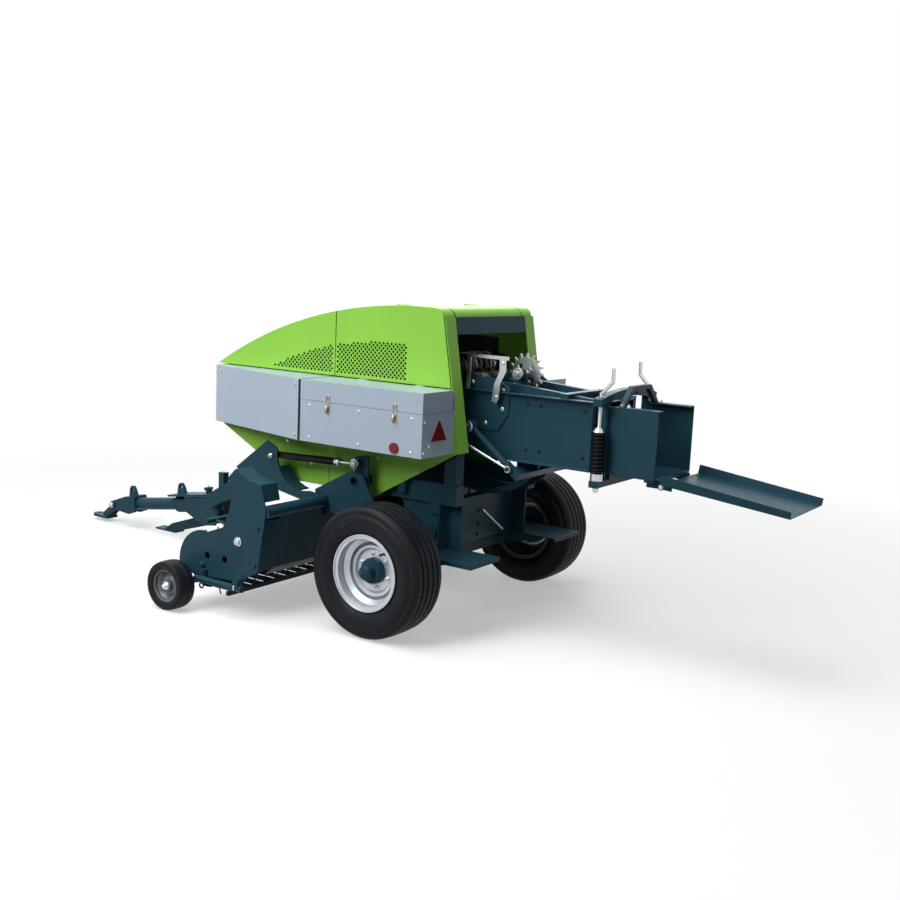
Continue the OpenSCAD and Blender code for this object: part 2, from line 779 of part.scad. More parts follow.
module tension_screws() {
    z0 = floor_low - 96;
    top = roof_in + 78;
    color(steel) for (s = [-1, 1]) translate([-chamber_rear - 64, s * 300, 0]) {
        translate([0, 0, z0]) cylinder(r = 11, h = top - z0);
        translate([0, 0, floor_low - 30]) cylinder(r = 34, h = 38);
        translate([0, 0, floor_low + 236]) cylinder(r1 = 36, r2 = 20, h = 24);
        translate([0, 0, z0 + 8]) cylinder(r = 19, h = 16, $fn = 6);
        rod_xz([0, top - 6], [-s * 66, top + 66], 0, 10);
        translate([-s * 66, 0, top + 60]) cylinder(r = 10, h = 80);
    }
}

module chute_frame() {
    translate([chute_x, 0, chute_z]) rotate([0, -chute_slope, 0]) children();
}

module chute() {
    t = 5;
    tall = 56;
    flare = 8;
    start = 10;
    notch = 36;
    tray = [[-chute_in - flare, tall], [-chute_in, 0], [chute_in, 0], [chute_in + flare, tall],
        [chute_in + flare - t, tall], [chute_in - t, t], [-chute_in + t, t], [-chute_in - flare + t, tall]];
    color(teal) chute_frame() difference() {
        union() {
            difference() {
                translate([-chute_l, 0, chute_up - t]) rotate([90, 0, 90])
                    linear_extrude(chute_l - start) polygon(tray);
                slab(-500, 500) polygon([[-chute_l - 5, chute_up + 34], [-chute_l, chute_up + 34],
                    [-start, chute_up + 50], [-start, 300], [-chute_l - 5, 300]]);
                both() box(-notch, 0, wall_y - 68, wall_y - 37, 0, chute_up + 1);
            }
            both() {
                bar_y(0, 0, 18, wall_y - 36, wall_y - 24);
                box(-60, 0, wall_y - 36, wall_y - 24, -10, chute_up - t);
            }
        }
        bar_y(0, 0, 8 + fit, -400, 400);
    }
}

module knotters() {
    z = wall_top + 24;
    x0 = -60;
    color(steel) {
        bar_y(x0 + 20, z + 92, 17, -330, 330);
        both() {
            slab(needle_y - 58, needle_y - 44) polygon([[x0 - 150, z], [x0 + 60, z], [x0 + 60, z + 70],
                [x0 + 40, z + 120], [x0 - 10, z + 120], [x0 - 120, z + 40]]);
            bar_y(x0 + 20, z + 92, 74, needle_y - 30, needle_y - 12);
            bar_y(x0 - 90, z + 32, 30, needle_y - 44, needle_y + 16);
            bar_y(x0 + 20, z + 92, 46, needle_y + 40, needle_y + 52);
            bar_y(x0 + 20, z + 92, 58, 300, 312);
            box(x0 - 10, x0 + 50, wall_y, wall_y + 16, wall_top - 150, z + 110);
        }
    }
}

module trip_arm() {
    z = wall_top + 196;
    y = wall_y + 40;
    arm = [[-180, z - 10], [-460, z - 12], [-462, z + 8], [-182, z + 8]];
    drop = [[-440, z - 4], [-402, z - 4], [-404, z - 80], [-372, z - 150], [-358, z - 250],
        [-390, z - 262], [-404, z - 236], [-412, z - 150], [-446, z - 80]];
    color(steel) {
        slab(y, y + 8) union() {
            polygon(arm);
            polygon(drop);
        }
        bar_y(-388, z - 226, 9, wall_y + plate, y);
        box(-200, -176, wall_y + 34, y, wall_top, z + 8);
    }
}

module metering_wheel() {
    teeth = 16;
    color(steel) {
        translate([star_x, 0, star_z]) slab(-7, 7) difference() {
            union() {
                circle(r = star_r - 26);
                for (i = [0:teeth - 1]) rotate(i * 360 / teeth)
                    polygon([[star_r - 34, -15], [star_r - 14, -8], [star_r, 4], [star_r - 6, 9],
                        [star_r - 24, 6], [star_r - 34, 12]]);
            }
            for (i = [0:3]) rotate(i * 90 + 45) translate([56, 0]) circle(r = 16);
        }
        bar_y(star_x, star_z, 14, -40, 120);
        bar_y(star_x, star_z, 34, 90, 104);
    }
}

module star_stand() {
    color(teal) both() difference() {
        slab(46, 54) polygon([[star_x - 70, roof_in + 8], [star_x + 70, roof_in + 8],
            [star_x + 24, star_z + 24], [star_x - 24, star_z + 24]]);
        bar_y(star_x, star_z, 14 + fit, -200, 200);
    }
}

// an arc bar about the yoke pivot, from one angle to another
module bow(r0, r1, a0, a1) {
    difference() {
        circle(r = r1, $fn = 120);
        circle(r = r0, $fn = 120);
        for (k = [0:1]) rotate(k == 0 ? a1 : a0 - 180) translate([-1000, 0]) square([2000, 1000]);
    }
}

module needle_yoke() {
    low = [342 * cos(yoke_a), 342 * sin(yoke_a)];
    color(teal) translate([yoke_x, 0, yoke_z]) difference() {
        union() {
            both() {
                rod_xz([0, 0], low, arm_y, 19);
                bar_y(0, 0, 34, arm_y - 30, arm_y + 30);
                translate([low[0], 0, low[1]]) rotate([0, -yoke_a, 0])
                    box(-24, 76, arm_y - 12, arm_y + 12, -24, 24);
                slab(needle_y - 9, needle_y + 9) bow(needle_r - 20, needle_r + 20, yoke_a - 8, 326);
            }
            rotate([0, -yoke_a, 0]) box(372, 428, -arm_y - 12, arm_y + 12, -26, 26);
        }
        bar_y(0, 0, 20 + fit, -500, 500);
    }
}

module yoke_link() {
    a = [link_r * cos(yoke_a), link_r * sin(yoke_a)];
    tip = [480, 184];
    y = arm_y + 18;
    color(steel) translate([yoke_x + a[0], 0, yoke_z + a[1]]) difference() {
        union() {
            rod_xz([0, 0], tip, y + 12, 8);
            bar_y(0, 0, 20, y + 3, y + 21);
            bar_y(tip[0], tip[1], 20, y + 3, y + 21);
        }
        bar_y(0, 0, 9 + fit, 0, 500);
        bar_y(tip[0], tip[1], 9 + fit, 0, 500);
    }
}

module yoke_pin() {
    a = [link_r * cos(yoke_a), link_r * sin(yoke_a)];
    color(teal) bar_y(yoke_x + a[0], yoke_z + a[1], 9, arm_y, arm_y + 46);
}

module end_profile() {
    polygon([[826, 880], [888, 818], [846, 760], [870, 630], [922, 520], [reel_x - 30, reel_z + 202],
        [reel_x, reel_z + 204], [reel_x + 40, reel_z], [reel_x, reel_z - 70], [786, 215],
        [638, 300], [581, pivot_z + 12], [619, 814], [730, 830]]);
    translate([reel_x, reel_z]) intersection() {
        circle(r = 206);
        translate([-20, -72]) square([400, 400]);
    }
}

module pickup_ends() {
    flange = 130;
    color(teal) both() {
        difference() {
            slab(end_y - 8, end_y) end_profile();
            bar_y(reel_x, reel_z, 20 + fit, 0, 2000);
            bar_y(auger_x, auger_z, 20 + fit, 0, 2000);
            for (x = [reel_x - 32, reel_x - 175]) bar_y(x, reel_z + 59, 21, 0, 2000);
        }
        slab(end_y - flange, end_y - 8) polygon([[638, 300], [590, pivot_z - 46], [597, pivot_z - 46],
            [645, 302]]);
        slab(end_y - flange, end_y - 8) polygon([[594, 716], [619, 814], [730, 830], [826, 880],
            [829, 873], [732, 823], [625, 807], [601, 714]]);
    }
}

module pickup_trough() {
    y1 = end_y - 8;
    throat_x = lift_x - 249;
    throat_z = lift_z + 14;
    throat_r = 202;
    arm = [[pivot_x - 42, pivot_z - 20], [pivot_x + 60, pivot_z - 30], [1270, 730], [1310, 775],
        [lift_x + 41, lift_z + 88], [lift_x - 30, lift_z + 60], [throat_x + throat_r - 15, throat_z],
        [throat_x, throat_z - throat_r + 15], [pivot_x - 30, pivot_z + 36]];
    skirt = [[pivot_x - 2, pivot_z - 34], [642, 304], [708, 250], [711, 254], [647, 306],
        [pivot_x + 4, pivot_z - 33]];
    color(teal) {
        bar_y(pivot_x, pivot_z, cross_r, -y1, y1);
        slab(-y1, y1) translate([auger_x, auger_z]) difference() {
            circle(r = trough_r + 4);
            circle(r = trough_r);
            rotate(-30) translate([-400, 0]) square([800, 400]);
            rotate(-30) translate([-20, -5]) square([400, 400]);
        }
        difference() {
            union() {
                slab(-y1, y1) polygon([[auger_x - 122, auger_z + 68], [pivot_x + 20, pivot_z - 30],
                    [pivot_x + 26, pivot_z - 26], [auger_x - 116, auger_z + 71]]);
                slab(-end_y + 132, end_y - 132) polygon(skirt);
            }
            box(0, 2000, -280, 280, 0, pivot_z - 50);
            both() bar_y(pivot_x, pivot_z, 84, hanger_y - 14, hanger_y + 14);
        }
        both() {
            slab(arm_in, arm_in + 12) difference() {
                polygon(arm);
                translate([throat_x, throat_z]) circle(r = throat_r);
            }
            slab(arm_in - 100, arm_in) translate([throat_x, throat_z]) intersection() {
                difference() {
                    circle(r = throat_r + 10);
                    circle(r = throat_r + 2);
                }
                polygon([[0, 0], 400 * [cos(-80), sin(-80)], 400 * [cos(-22), sin(-22)]]);
            }
            bar_y(lift_x, lift_z, 12, hanger_y - 22, arm_in + 20);
        }
        both() slab(arm_in, arm_in + 12) polygon([[guard_x - 25, 720], [guard_x + 30, 720],
            [guard_x + 18, guard_z - 14], [guard_x - 18, guard_z - 14]]);
        bar_y(guard_x, guard_z, 15, -end_y + 60, end_y - 60);
        for (i = [-5:5]) rod_xz([guard_x, guard_z], [guard_x - 175, guard_z - 30], i * 200, 7);
    }
}

module stripper_bank() {
    tail = reel_x - 185;
    heel = [reel_x - 206, reel_z + 38];
    bend = reel_x - 118;
    band = [heel, heel - [4, 0], [bend - 4, reel_z + band_r], [reel_x, reel_z + band_r],
        [reel_x, reel_z + band_r - 4], [bend, reel_z + band_r - 4]];
    sole = [[tail, reel_z - band_r + 4], [reel_x, reel_z - band_r + 4], [reel_x, reel_z - band_r],
        [tail, reel_z - band_r]];
    color(teal) {
        for (i = [0:bands - 1]) translate([0, (i - (bands - 1) / 2) * band_pitch, 0])
            slab(-band_w / 2, band_w / 2) {
                translate([reel_x, reel_z]) difference() {
                    circle(r = band_r);
                    circle(r = band_r - 4);
                    translate([-400, -400]) square([400, 800]);
                }
                polygon(band);
                polygon(sole);
            }
        box(heel[0] - 20, heel[0], -end_y + 8, end_y - 8, heel[1] - 22, heel[1]);
        box(tail - 20, tail, -end_y + 8, end_y - 8, reel_z - band_r, reel_z - band_r + 26);
    }
}

module tine_reel() {
    y1 = end_y - 14;
    rows = bands + 1;
    color(steel) {
        bar_y(reel_x, reel_z, 20, -end_y + 1, end_y - 1);
        for (k = [0:4]) {
            y = (k - 2) * (y1 - 20) / 2;
            bar_y(reel_x, reel_z, bar_r + 16, y - 4, y + 4);
        }
        for (a = [20, 110, 200, 290]) translate([reel_x, 0, reel_z]) rotate([0, a, 0]) {
            translate([bar_r, -y1, 0]) rotate([-90, 0, 0]) cylinder(r = 12, h = 2 * y1, $fn = 24);
            for (i = [0:rows - 1]) translate([bar_r, (i - (rows - 1) / 2) * band_pitch, 0])
                rotate([0, 90, 0]) cylinder(r = 4, h = tine_r - bar_r, $fn = 16);
        }
    }
}

// one hand of auger flight: a flat blade turned through a full pitch
module flight(h, hand) {
    linear_extrude(height = h, twist = hand * 360 * h / 300, slices = 64, segments = 4)
        translate([0, -3]) square([auger_r, 6]);
}

module feed_auger() {
    y1 = end_y - 14;
    color(steel) translate([auger_x, 0, auger_z]) {
        rotate([-90, 0, 0]) translate([0, 0, -end_y + 1]) cylinder(r = 20, h = 2 * end_y - 2);
        rotate([-90, 0, 0]) translate([0, 0, -y1]) cylinder(r = 52, h = 2 * y1);
        rotate([-90, 0, 0]) translate([0, 0, 240]) flight(y1 - 240, 1);
        rotate([90, 0, 0]) translate([0, 0, 240]) flight(y1 - 240, -1);
    }
}

module gauge_arms() {
    z = 186;
    y = end_y + 26;
    color(teal) both() {
        bar_x(y, z, 20, 730, gauge_x - 90);
        bar_y(770, z + 40, 22, end_y, end_y + 46);
        slab(y - 20, y + 20) polygon([[748, z], [792, z], [786, z + 50], [754, z + 50]]);
        slab(end_y + 10, end_y + 22) polygon([[gauge_x - 150, z - 16], [gauge_x - 150, z + 16],
            [gauge_x + 22, gauge_r + 24], [gauge_x + 22, gauge_r - 24]]);
        bar_y(1060, z + 50, 16, end_y, end_y + 30);
        slab(end_y + 8, end_y + 22) polygon([[1040, z], [1080, z], [1076, z + 60], [1044, z + 60]]);
        bar_y(gauge_x, gauge_r, 14, end_y + 10, gauge_y + gauge_w / 2 - 20);
    }
}

module gauge_wheel(s) {
    w = gauge_w / 2;
    color(black) side(s) turned(gauge_x, gauge_y, gauge_r) difference() {
        union() {
            polygon([[14 + fit, -w + 6], [36, -w + 6], [36, w - 26], [14 + fit, w - 26]]);
            polygon([[30, -8], [gauge_r - 50, -14], [gauge_r - 50, 6], [30, 10]]);
            polygon([[gauge_r - 56, -w + 14], [gauge_r - 22, -w], [gauge_r - 8, -w + 6], [gauge_r, -w + 24],
                [gauge_r, w - 24], [gauge_r - 8, w - 6], [gauge_r - 22, w], [gauge_r - 56, w - 14]]);
        }
        translate([gauge_r - 8, -6]) square([12, 12]);
    }
}

module lift_frame(s) {
    side(s) translate([lift_x, hanger_y, lift_z]) rotate([0, 180 + lift_tilt, 0]) children();
}

module lift_barrel(s) {
    color(black) lift_frame(s) difference() {
        union() {
            bar_y(0, 0, 26, -16, 16);
            bar_x(0, 0, 22, 20, lift_len - 118);
        }
        bar_y(0, 0, 12 + fit, -60, 60);
        bar_x(0, 0, 11 + fit, 60, lift_len);
    }
}

module lift_rod(s) {
    color(steel) lift_frame(s) difference() {
        union() {
            bar_x(0, 0, 11, lift_len - 380, lift_len - 20);
            bar_y(lift_len, 0, 30, -14, 14);
        }
        bar_y(lift_len, 0, 18, -60, 60);
    }
}

place() axle_beam();
place() tyre(1);  // tyre_left
place() tyre(-1);  // tyre_right
place() rim(1);  // rim_left
place() rim(-1);  // rim_right
place() hub(1);  // hub_left
place() hub(-1);  // hub_right
place() frame_rails();
place() cross_members();
place() gooseneck();
place() pickup_hangers();
place() steps();
place() { drawbar(); stand_pin(); }
place() hitch_link();
place() parking_stand();
place() lower_hull();
place() hood_front();
place() roof_spine();
place() hood_door(1);  // hood_door_left
place() hood_door(-1);  // hood_door_right
place() rear_surround();
place() rear_visor();
place() front_shield();
place() twine_box(1);  // twine_box_left
place() twine_box(-1);  // twine_box_right
place() twine_lid(1);  // twine_lid_left
place() twine_lid(-1);  // twine_lid_right
place() reflectors();
place() gearbox();
place() shaft_guard();
place() chamber_walls();
place() chamber_floor();
place() { chamber_roof(); star_stand(); }
place() tension_frame();
place() tension_springs();
place() tension_screws();
place() chute();
place() knotters();
place() trip_arm();
place() metering_wheel();
place() { needle_yoke(); yoke_pin(); }
place() yoke_link();
place() pickup_ends();
place() pickup_trough();
place() stripper_bank();
place() tine_reel();
place() feed_auger();
place() gauge_arms();
place() gauge_wheel(1);  // gauge_wheel_left
place() gauge_wheel(-1);  // gauge_wheel_right
place() lift_barrel(1);  // lift_barrel_left
place() lift_barrel(-1);  // lift_barrel_right
place() lift_rod(1);  // lift_rod_left
place() lift_rod(-1);  // lift_rod_right
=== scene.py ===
import math

import bmesh
import bpy
import numpy as np
from mathutils import Matrix, Vector


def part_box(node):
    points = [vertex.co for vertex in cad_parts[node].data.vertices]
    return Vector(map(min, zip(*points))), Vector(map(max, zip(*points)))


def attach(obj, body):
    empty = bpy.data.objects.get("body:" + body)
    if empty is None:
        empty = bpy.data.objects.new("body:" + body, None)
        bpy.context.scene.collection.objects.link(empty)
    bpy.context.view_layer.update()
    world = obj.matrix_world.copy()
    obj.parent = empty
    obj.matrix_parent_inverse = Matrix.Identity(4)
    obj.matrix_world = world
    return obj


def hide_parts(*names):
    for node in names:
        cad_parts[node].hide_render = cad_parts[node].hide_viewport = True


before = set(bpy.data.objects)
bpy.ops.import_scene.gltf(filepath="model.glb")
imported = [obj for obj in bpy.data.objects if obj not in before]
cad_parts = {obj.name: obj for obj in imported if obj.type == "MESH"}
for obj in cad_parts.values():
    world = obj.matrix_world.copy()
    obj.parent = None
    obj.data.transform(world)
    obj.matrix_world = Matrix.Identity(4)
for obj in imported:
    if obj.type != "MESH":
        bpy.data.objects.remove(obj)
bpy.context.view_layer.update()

# The frame is welded of box section on a straight axle beam, with an apron plate bolted on at the back,
# and sprayed dark teal before the wheels go on. Every place below is measured from the axle, in metres:
# forward, left and up.
tyre_low, tyre_high = (np.array(corner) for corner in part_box("tyre_left"))
axle = np.array([(tyre_low[0] + tyre_high[0]) / 2, 0.0, 0.0])


def linear(red, green, blue):
    """The linear colour of an sRGB colour given from 0 to 255."""
    share = np.array([red, green, blue]) / 255.0
    value = np.where(share <= 0.04045, share / 12.92, ((share + 0.055) / 1.055) ** 2.4)
    return (*value.tolist(), 1.0)


def shade(colour, factor):
    """The colour with its light scaled by a factor."""
    return (*(channel * factor for channel in colour[:3]), 1.0)


class Finish:
    """A material's node tree, with short calls for the nodes that the finishes are made of."""

    def __init__(self, name):
        self.material = bpy.data.materials.new(name)
        self.material.use_nodes = True
        self.nodes = self.material.node_tree.nodes
        self.shader = self.nodes["Principled BSDF"]
        self.place = self.nodes.new("ShaderNodeTexCoord").outputs["Object"]

    def link(self, source, target):
        """Joins one node's output to another's input."""
        self.material.node_tree.links.new(source, target)

    def feed(self, name, source):
        """Joins a source to one of the shader's own sockets."""
        self.link(source, self.shader.inputs[name])

    def give(self, **values):
        """Sets the shader's own sockets; a socket's name is written with low lines for spaces."""
        for name, value in values.items():
            self.shader.inputs[name.replace("_", " ")].default_value = value

    def combine(self, operation, *sources):
        """One of Blender's operations on one or two sources."""
        node = self.nodes.new("ShaderNodeMath")
        node.operation = operation
        for socket, source in zip(node.inputs, sources):
            self.link(source, socket)
        return node.outputs["Value"]

    def stretched(self, scale):
        """The piece's own coordinates, scaled apart along each axis."""
        mapping = self.nodes.new("ShaderNodeMapping")
        mapping.inputs["Scale"].default_value = scale
        self.link(self.place, mapping.inputs["Vector"])
        return mapping.outputs["Vector"]

    def noise(self, scale, detail=4.0, stretch=None):
        """Fractal noise on the piece's own coordinates, drawn out along an axis if stretch is given."""
        node = self.nodes.new("ShaderNodeTexNoise")
        node.inputs["Scale"].default_value = scale
        node.inputs["Detail"].default_value = detail
        self.link(self.stretched(stretch) if stretch else self.place, node.inputs["Vector"])
        return node.outputs["Fac"]

    def spread(self, source, low, high, start=0.3, end=0.7):
        """The source's range from start to end laid out from low to high."""
        node = self.nodes.new("ShaderNodeMapRange")
        for key, value in zip(("From Min", "From Max", "To Min", "To Max"), (start, end, low, high)):
            node.inputs[key].default_value = value
        self.link(source, node.inputs["Value"])
        return node.outputs["Result"]

    def mix(self, share, first, second):
        """One colour over another by a share; a colour is a value or a socket."""
        node = self.nodes.new("ShaderNodeMix")
        node.data_type = "RGBA"
        self.link(share, node.inputs[0])
        for socket, colour in ((node.inputs[6], first), (node.inputs[7], second)):
            if isinstance(colour, tuple):
                socket.default_value = colour
            else:
                self.link(colour, socket)
        return node.outputs[2]

    def axis(self, letter):
        """One of the piece's own coordinates, such as Z for height above the ground."""
        node = self.nodes.new("ShaderNodeSeparateXYZ")
        self.link(self.place, node.inputs["Vector"])
        return node.outputs[letter]

    def bump(self, source, depth, strength=0.5, below=None):
        """Relief of a depth in metres from a source, over relief that is there already."""
        node = self.nodes.new("ShaderNodeBump")
        node.inputs["Strength"].default_value = strength
        node.inputs["Distance"].default_value = depth
        self.link(source, node.inputs["Height"])
        if below:
            self.link(below, node.inputs["Normal"])
        return node.outputs["Normal"]

    def edge(self, radius):
        """A normal rounded over the edges within a radius, as on a plate with dressed edges."""
        node = self.nodes.new("ShaderNodeBevel")
        node.samples = 4
        node.inputs["Radius"].default_value = radius
        return node.outputs["Normal"]


def sprayed(name, colour, rough=0.34, coat=0.25, dust=0.05, round_edge=0.003, gloss=0.5):
    """Sprayed enamel: cloudy in tone, faint orange peel, rounded edges, and dust that lies low down."""
    pale_dust, brown_dust = linear(150, 148, 138), linear(128, 118, 100)
    finish = Finish(name)
    clouds = finish.spread(finish.noise(2.3, 3.0), 0.0, 1.0)
    tone = finish.mix(clouds, shade(colour, 0.97), shade(colour, 1.025))
    streaks = finish.spread(finish.noise(5.0, 4.0, (3.0, 3.0, 0.35)), 0.0, dust, 0.5, 0.72)
    tone = finish.mix(streaks, tone, pale_dust)
    low_down = finish.spread(finish.axis("Z"), 2.0 * dust, 0.0, 0.1, 0.9)
    specks = finish.spread(finish.noise(46.0, 6.0), 0.0, 1.0, 0.45, 0.75)
    tone = finish.mix(finish.combine("MULTIPLY", low_down, specks), tone, brown_dust)
    finish.feed("Base Color", tone)
    finish.feed("Roughness", finish.spread(finish.noise(9.0, 5.0), rough - 0.05, rough + 0.07))
    finish.feed("Normal", finish.bump(finish.noise(260.0, 2.0), 0.0005, 0.12, finish.edge(round_edge)))
    finish.give(Coat_Weight=coat, Coat_Roughness=0.1, Specular_IOR_Level=gloss)
    return finish.material


def plated(name, colour, rough, dust, round_edge=0.001):
    """Plated or polished steel: the same clouds, dust and rounded edges on bare metal."""
    material = sprayed(name, colour, rough, 0.0, dust, round_edge)
    material.node_tree.nodes["Principled BSDF"].inputs["Metallic"].default_value = 1.0
    return material


def dress(material, *names):
    """Gives CAD nodes their material."""
    for name in names:
        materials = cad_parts[name].data.materials
        materials.clear()
        materials.append(material)


teal_paint = sprayed("teal_enamel", linear(34, 69, 82), 0.32, 0.0, 0.008, gloss=0.1)
zinc_plate = plated("zinc_plate", linear(186, 190, 192), 0.3, 0.02)
dress(teal_paint, "axle_beam", "frame_rails", "cross_members", "gooseneck", "pickup_hangers", "gearbox")


def skin(name, grid, material, body, along=False, crease=35.0):
    """A skin of four-sided faces over a grid of points (rows, columns, 3), or over several grids of one
    size at once. Columns run round and close on themselves, rows do so if along is set. A row drawn
    together to a point becomes a cap. Folds sharper than the crease angle stay sharp."""
    grid = np.asarray(grid, dtype=float)
    grid = grid.reshape(-1, *grid.shape[-3:])
    index = np.arange(grid[..., 0].size).reshape(grid.shape[:3])
    index = np.concatenate([index, index[:, :, :1]], axis=2)
    if along:
        index = np.concatenate([index, index[:, :1]], axis=1)
    cells = [index[:, :-1, :-1], index[:, :-1, 1:], index[:, 1:, 1:], index[:, 1:, :-1]]
    mesh = bpy.data.meshes.new(name)
    mesh.from_pydata(grid.reshape(-1, 3), [], np.stack(cells, axis=-1).reshape(-1, 4))
    shell = bmesh.new()
    shell.from_mesh(mesh)
    bmesh.ops.remove_doubles(shell, verts=shell.verts, dist=1e-6)
    bmesh.ops.recalc_face_normals(shell, faces=shell.faces)
    shell.to_mesh(mesh)
    shell.free()
    mesh.shade_smooth()
    mesh.set_sharp_from_angle(angle=math.radians(crease))
    mesh.materials.append(material)
    piece = bpy.data.objects.new(name, mesh)
    bpy.context.collection.objects.link(piece)
    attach(piece, body)
    return piece


def facing_frame(facing, count):
    """For each of a number of places: the way its face looks, and the level and upright ways in it."""
    out = np.broadcast_to(np.asarray(facing, dtype=float), (count, 3))
    out = out / np.linalg.norm(out, axis=1, keepdims=True)
    pole = np.where(np.abs(out[:, 2:]) > 0.9, [[1.0, 0.0, 0.0]], [[0.0, 0.0, 1.0]])
    level = np.cross(pole, out)
    level /= np.linalg.norm(level, axis=1, keepdims=True)
    return out, level, np.cross(out, level)


def raised(name, places, facing, drawn, lifts, material, body, slot, crease=35.0):
    """Like pieces standing on a face: at each place the outlines drawn (rows, points, 2) follow one
    another at the heights lifts along the way that the face looks."""
    places = np.atleast_2d(np.asarray(places, dtype=float)) + axle
    out, level, upright = (way[:, None, None, :] for way in facing_frame(facing, len(places)))
    drawn = np.asarray(drawn, dtype=float)[None]
    lifts = np.asarray(lifts, dtype=float)[None, :, None, None]
    grid = places[:, None, None] + drawn[..., :1] * level + drawn[..., 1:] * upright + lifts * out
    return skin(name, grid, material, body, crease=crease)


def circle(points=24):
    """A circle of unit radius."""
    turn = np.linspace(0.0, 2.0 * np.pi, points, endpoint=False)
    return np.stack([np.cos(turn), np.sin(turn)], axis=-1)


def hexagon(points=24):
    """A hexagon of unit half width across its flats, with its sides divided evenly in angle."""
    turn = np.linspace(0.0, 2.0 * np.pi, points, endpoint=False)
    reach = 1.0 / np.cos((turn + np.pi / 6) % (np.pi / 3) - np.pi / 6)
    return circle(points) * reach[:, None]


def bolts(name, places, facing, size, material, body, slot, stud=0.0):
    """Hexagon bolts or nuts of a thread size on plain washers, with a chamfered head; a nut shows its
    stud. The outlines are circles and hexagons in shares of the thread size."""
    round_, hex_ = circle(), hexagon()
    washer, head, chamfer = 1.1 * size * round_, 0.8 * size * hex_, 0.7 * size * round_
    drawn = [0 * round_, washer, washer, head, head, chamfer]
    lifts = [0.0, 0.0, 0.16 * size, 0.16 * size, 0.7 * size, 0.82 * size]
    if stud:
        drawn += [0.48 * size * round_, 0.48 * size * round_, 0.38 * size * round_]
        lifts += [0.82 * size, 0.82 * size + stud, 0.92 * size + stud]
    drawn.append(0 * round_)
    lifts.append(lifts[-1])
    return raised(name, places, facing, drawn, lifts, material, body, slot)


def tube(name, path, radius, material, body, sides=12, pole=(0.0, 0.0, 1.0), loop=False):
    """A round section carried along a path of points, or along several; the radius may change on the
    way. Both ends are closed, or the path runs round to its start as a loop. The pole is a direction
    that the path never takes."""
    path = np.asarray(path, dtype=float)
    path = path.reshape(-1, *path.shape[-2:]) + axle
    ahead = np.roll(path, -1, axis=1) - np.roll(path, 1, axis=1) if loop else np.gradient(path, axis=1)
    level = np.cross(ahead, pole)
    level /= np.linalg.norm(level, axis=-1, keepdims=True)
    upright = np.cross(level, ahead)
    upright /= np.linalg.norm(upright, axis=-1, keepdims=True)
    ring = circle(sides)
    section = ring[:, :1] * level[:, :, None] + ring[:, 1:] * upright[:, :, None]
    rings = path[:, :, None] + np.broadcast_to(radius, path.shape[1])[:, None, None] * section
    if not loop:
        first, last = (np.repeat(path[:, [end], None], sides, axis=2) for end in (0, -1))
        rings = np.concatenate([first, rings, last], axis=1)
    return skin(name, rings, material, body, along=loop)


apron_x = -0.136
apron_places = [(apron_x, y, z) for y in (0.02, -0.26) for z in (0.62, 0.54, 0.475)]
bolts("apron_bolts", apron_places, (-1, 0, 0), 0.012, teal_paint, "chassis", "teal_paint")
rod_x = apron_x - 0.008
rod_ends = [(rod_x, -0.01, 0.627), (rod_x, -0.255, 0.466)]
tube("apron_rod", rod_ends, 0.006, zinc_plate, "chassis", pole=(1, 0, 0))

# The tyres are ribbed implement tyres of black rubber, moulded with four straight grooves round the
# tread. They are mounted by air pressure on the rim, and the sidewall carries two thin moulded rings.
axle_z = (tyre_low[2] + tyre_high[2]) / 2
tyre_r = axle_z
tyre_w = tyre_high[1] - tyre_low[1]
wheel_y = (tyre_low[1] + tyre_high[1]) / 2
rim_r = 0.220
seat_r = rim_r - 0.0187
side_widest, side_fall = 0.58, 0.022
ring_places, ring_rise = (0.16, 0.8), 0.0016
shoulder_r = 0.040
crown_half, crown_drop = tyre_w / 2 - 0.042, 0.003
groove_places = (0.024, 0.066)
groove_half, groove_flank, groove_depth = 0.0075, 0.003, 0.0115
hands = (("left", 1.0), ("right", -1.0))


def tyre_section():
    """The tyre's section as (radius, width) pairs: up the sidewall, a parabola; round the shoulder, an
    arc; over the crown, a flat arc with a smooth notch at each groove; and the same mirrored on the
    other side."""
    climb = np.linspace(0.0, 1.0, 30)
    marks = sum(ring_rise * np.exp(-((climb - place) / 0.025) ** 2) for place in ring_places)
    swell = tyre_w / 2 - side_fall * (np.abs(climb - side_widest) / side_widest) ** 2
    side = np.stack([rim_r + 0.008 + climb * (tyre_r - 0.054 - rim_r), swell + marks], axis=-1)
    bend = np.radians(np.linspace(20.0, 88.0, 14))
    shoulder = np.stack([tyre_r - crown_drop - shoulder_r + shoulder_r * np.sin(bend),
                         crown_half + shoulder_r * np.cos(bend)], axis=-1)
    over = np.linspace(crown_half, 0.0, 46)
    grooves = sum(np.clip((groove_half - np.abs(over - place)) / groove_flank, 0.0, 1.0)
                  for place in groove_places)
    crown_r = tyre_r - crown_drop * (over / crown_half) ** 2 - groove_depth * grooves
    crown = np.stack([crown_r, over], axis=-1)
    foot = [(seat_r, tyre_w / 2 - 0.032), (rim_r + 0.003, tyre_w / 2 - 0.028)]
    half = np.concatenate([foot, side, shoulder, crown])
    return np.concatenate([half, half[-2::-1] * [1.0, -1.0]])


def around(centre, section, turns):
    """A section of (radius, width) pairs carried round a level axis across the machine."""
    angle = np.linspace(0.0, 2.0 * np.pi, turns, endpoint=False)[:, None]
    radius, width = section[:, 0], section[:, 1]
    ring = np.stack([radius * np.cos(angle), width + 0.0 * angle, radius * np.sin(angle)], axis=-1)
    return axle + centre + ring


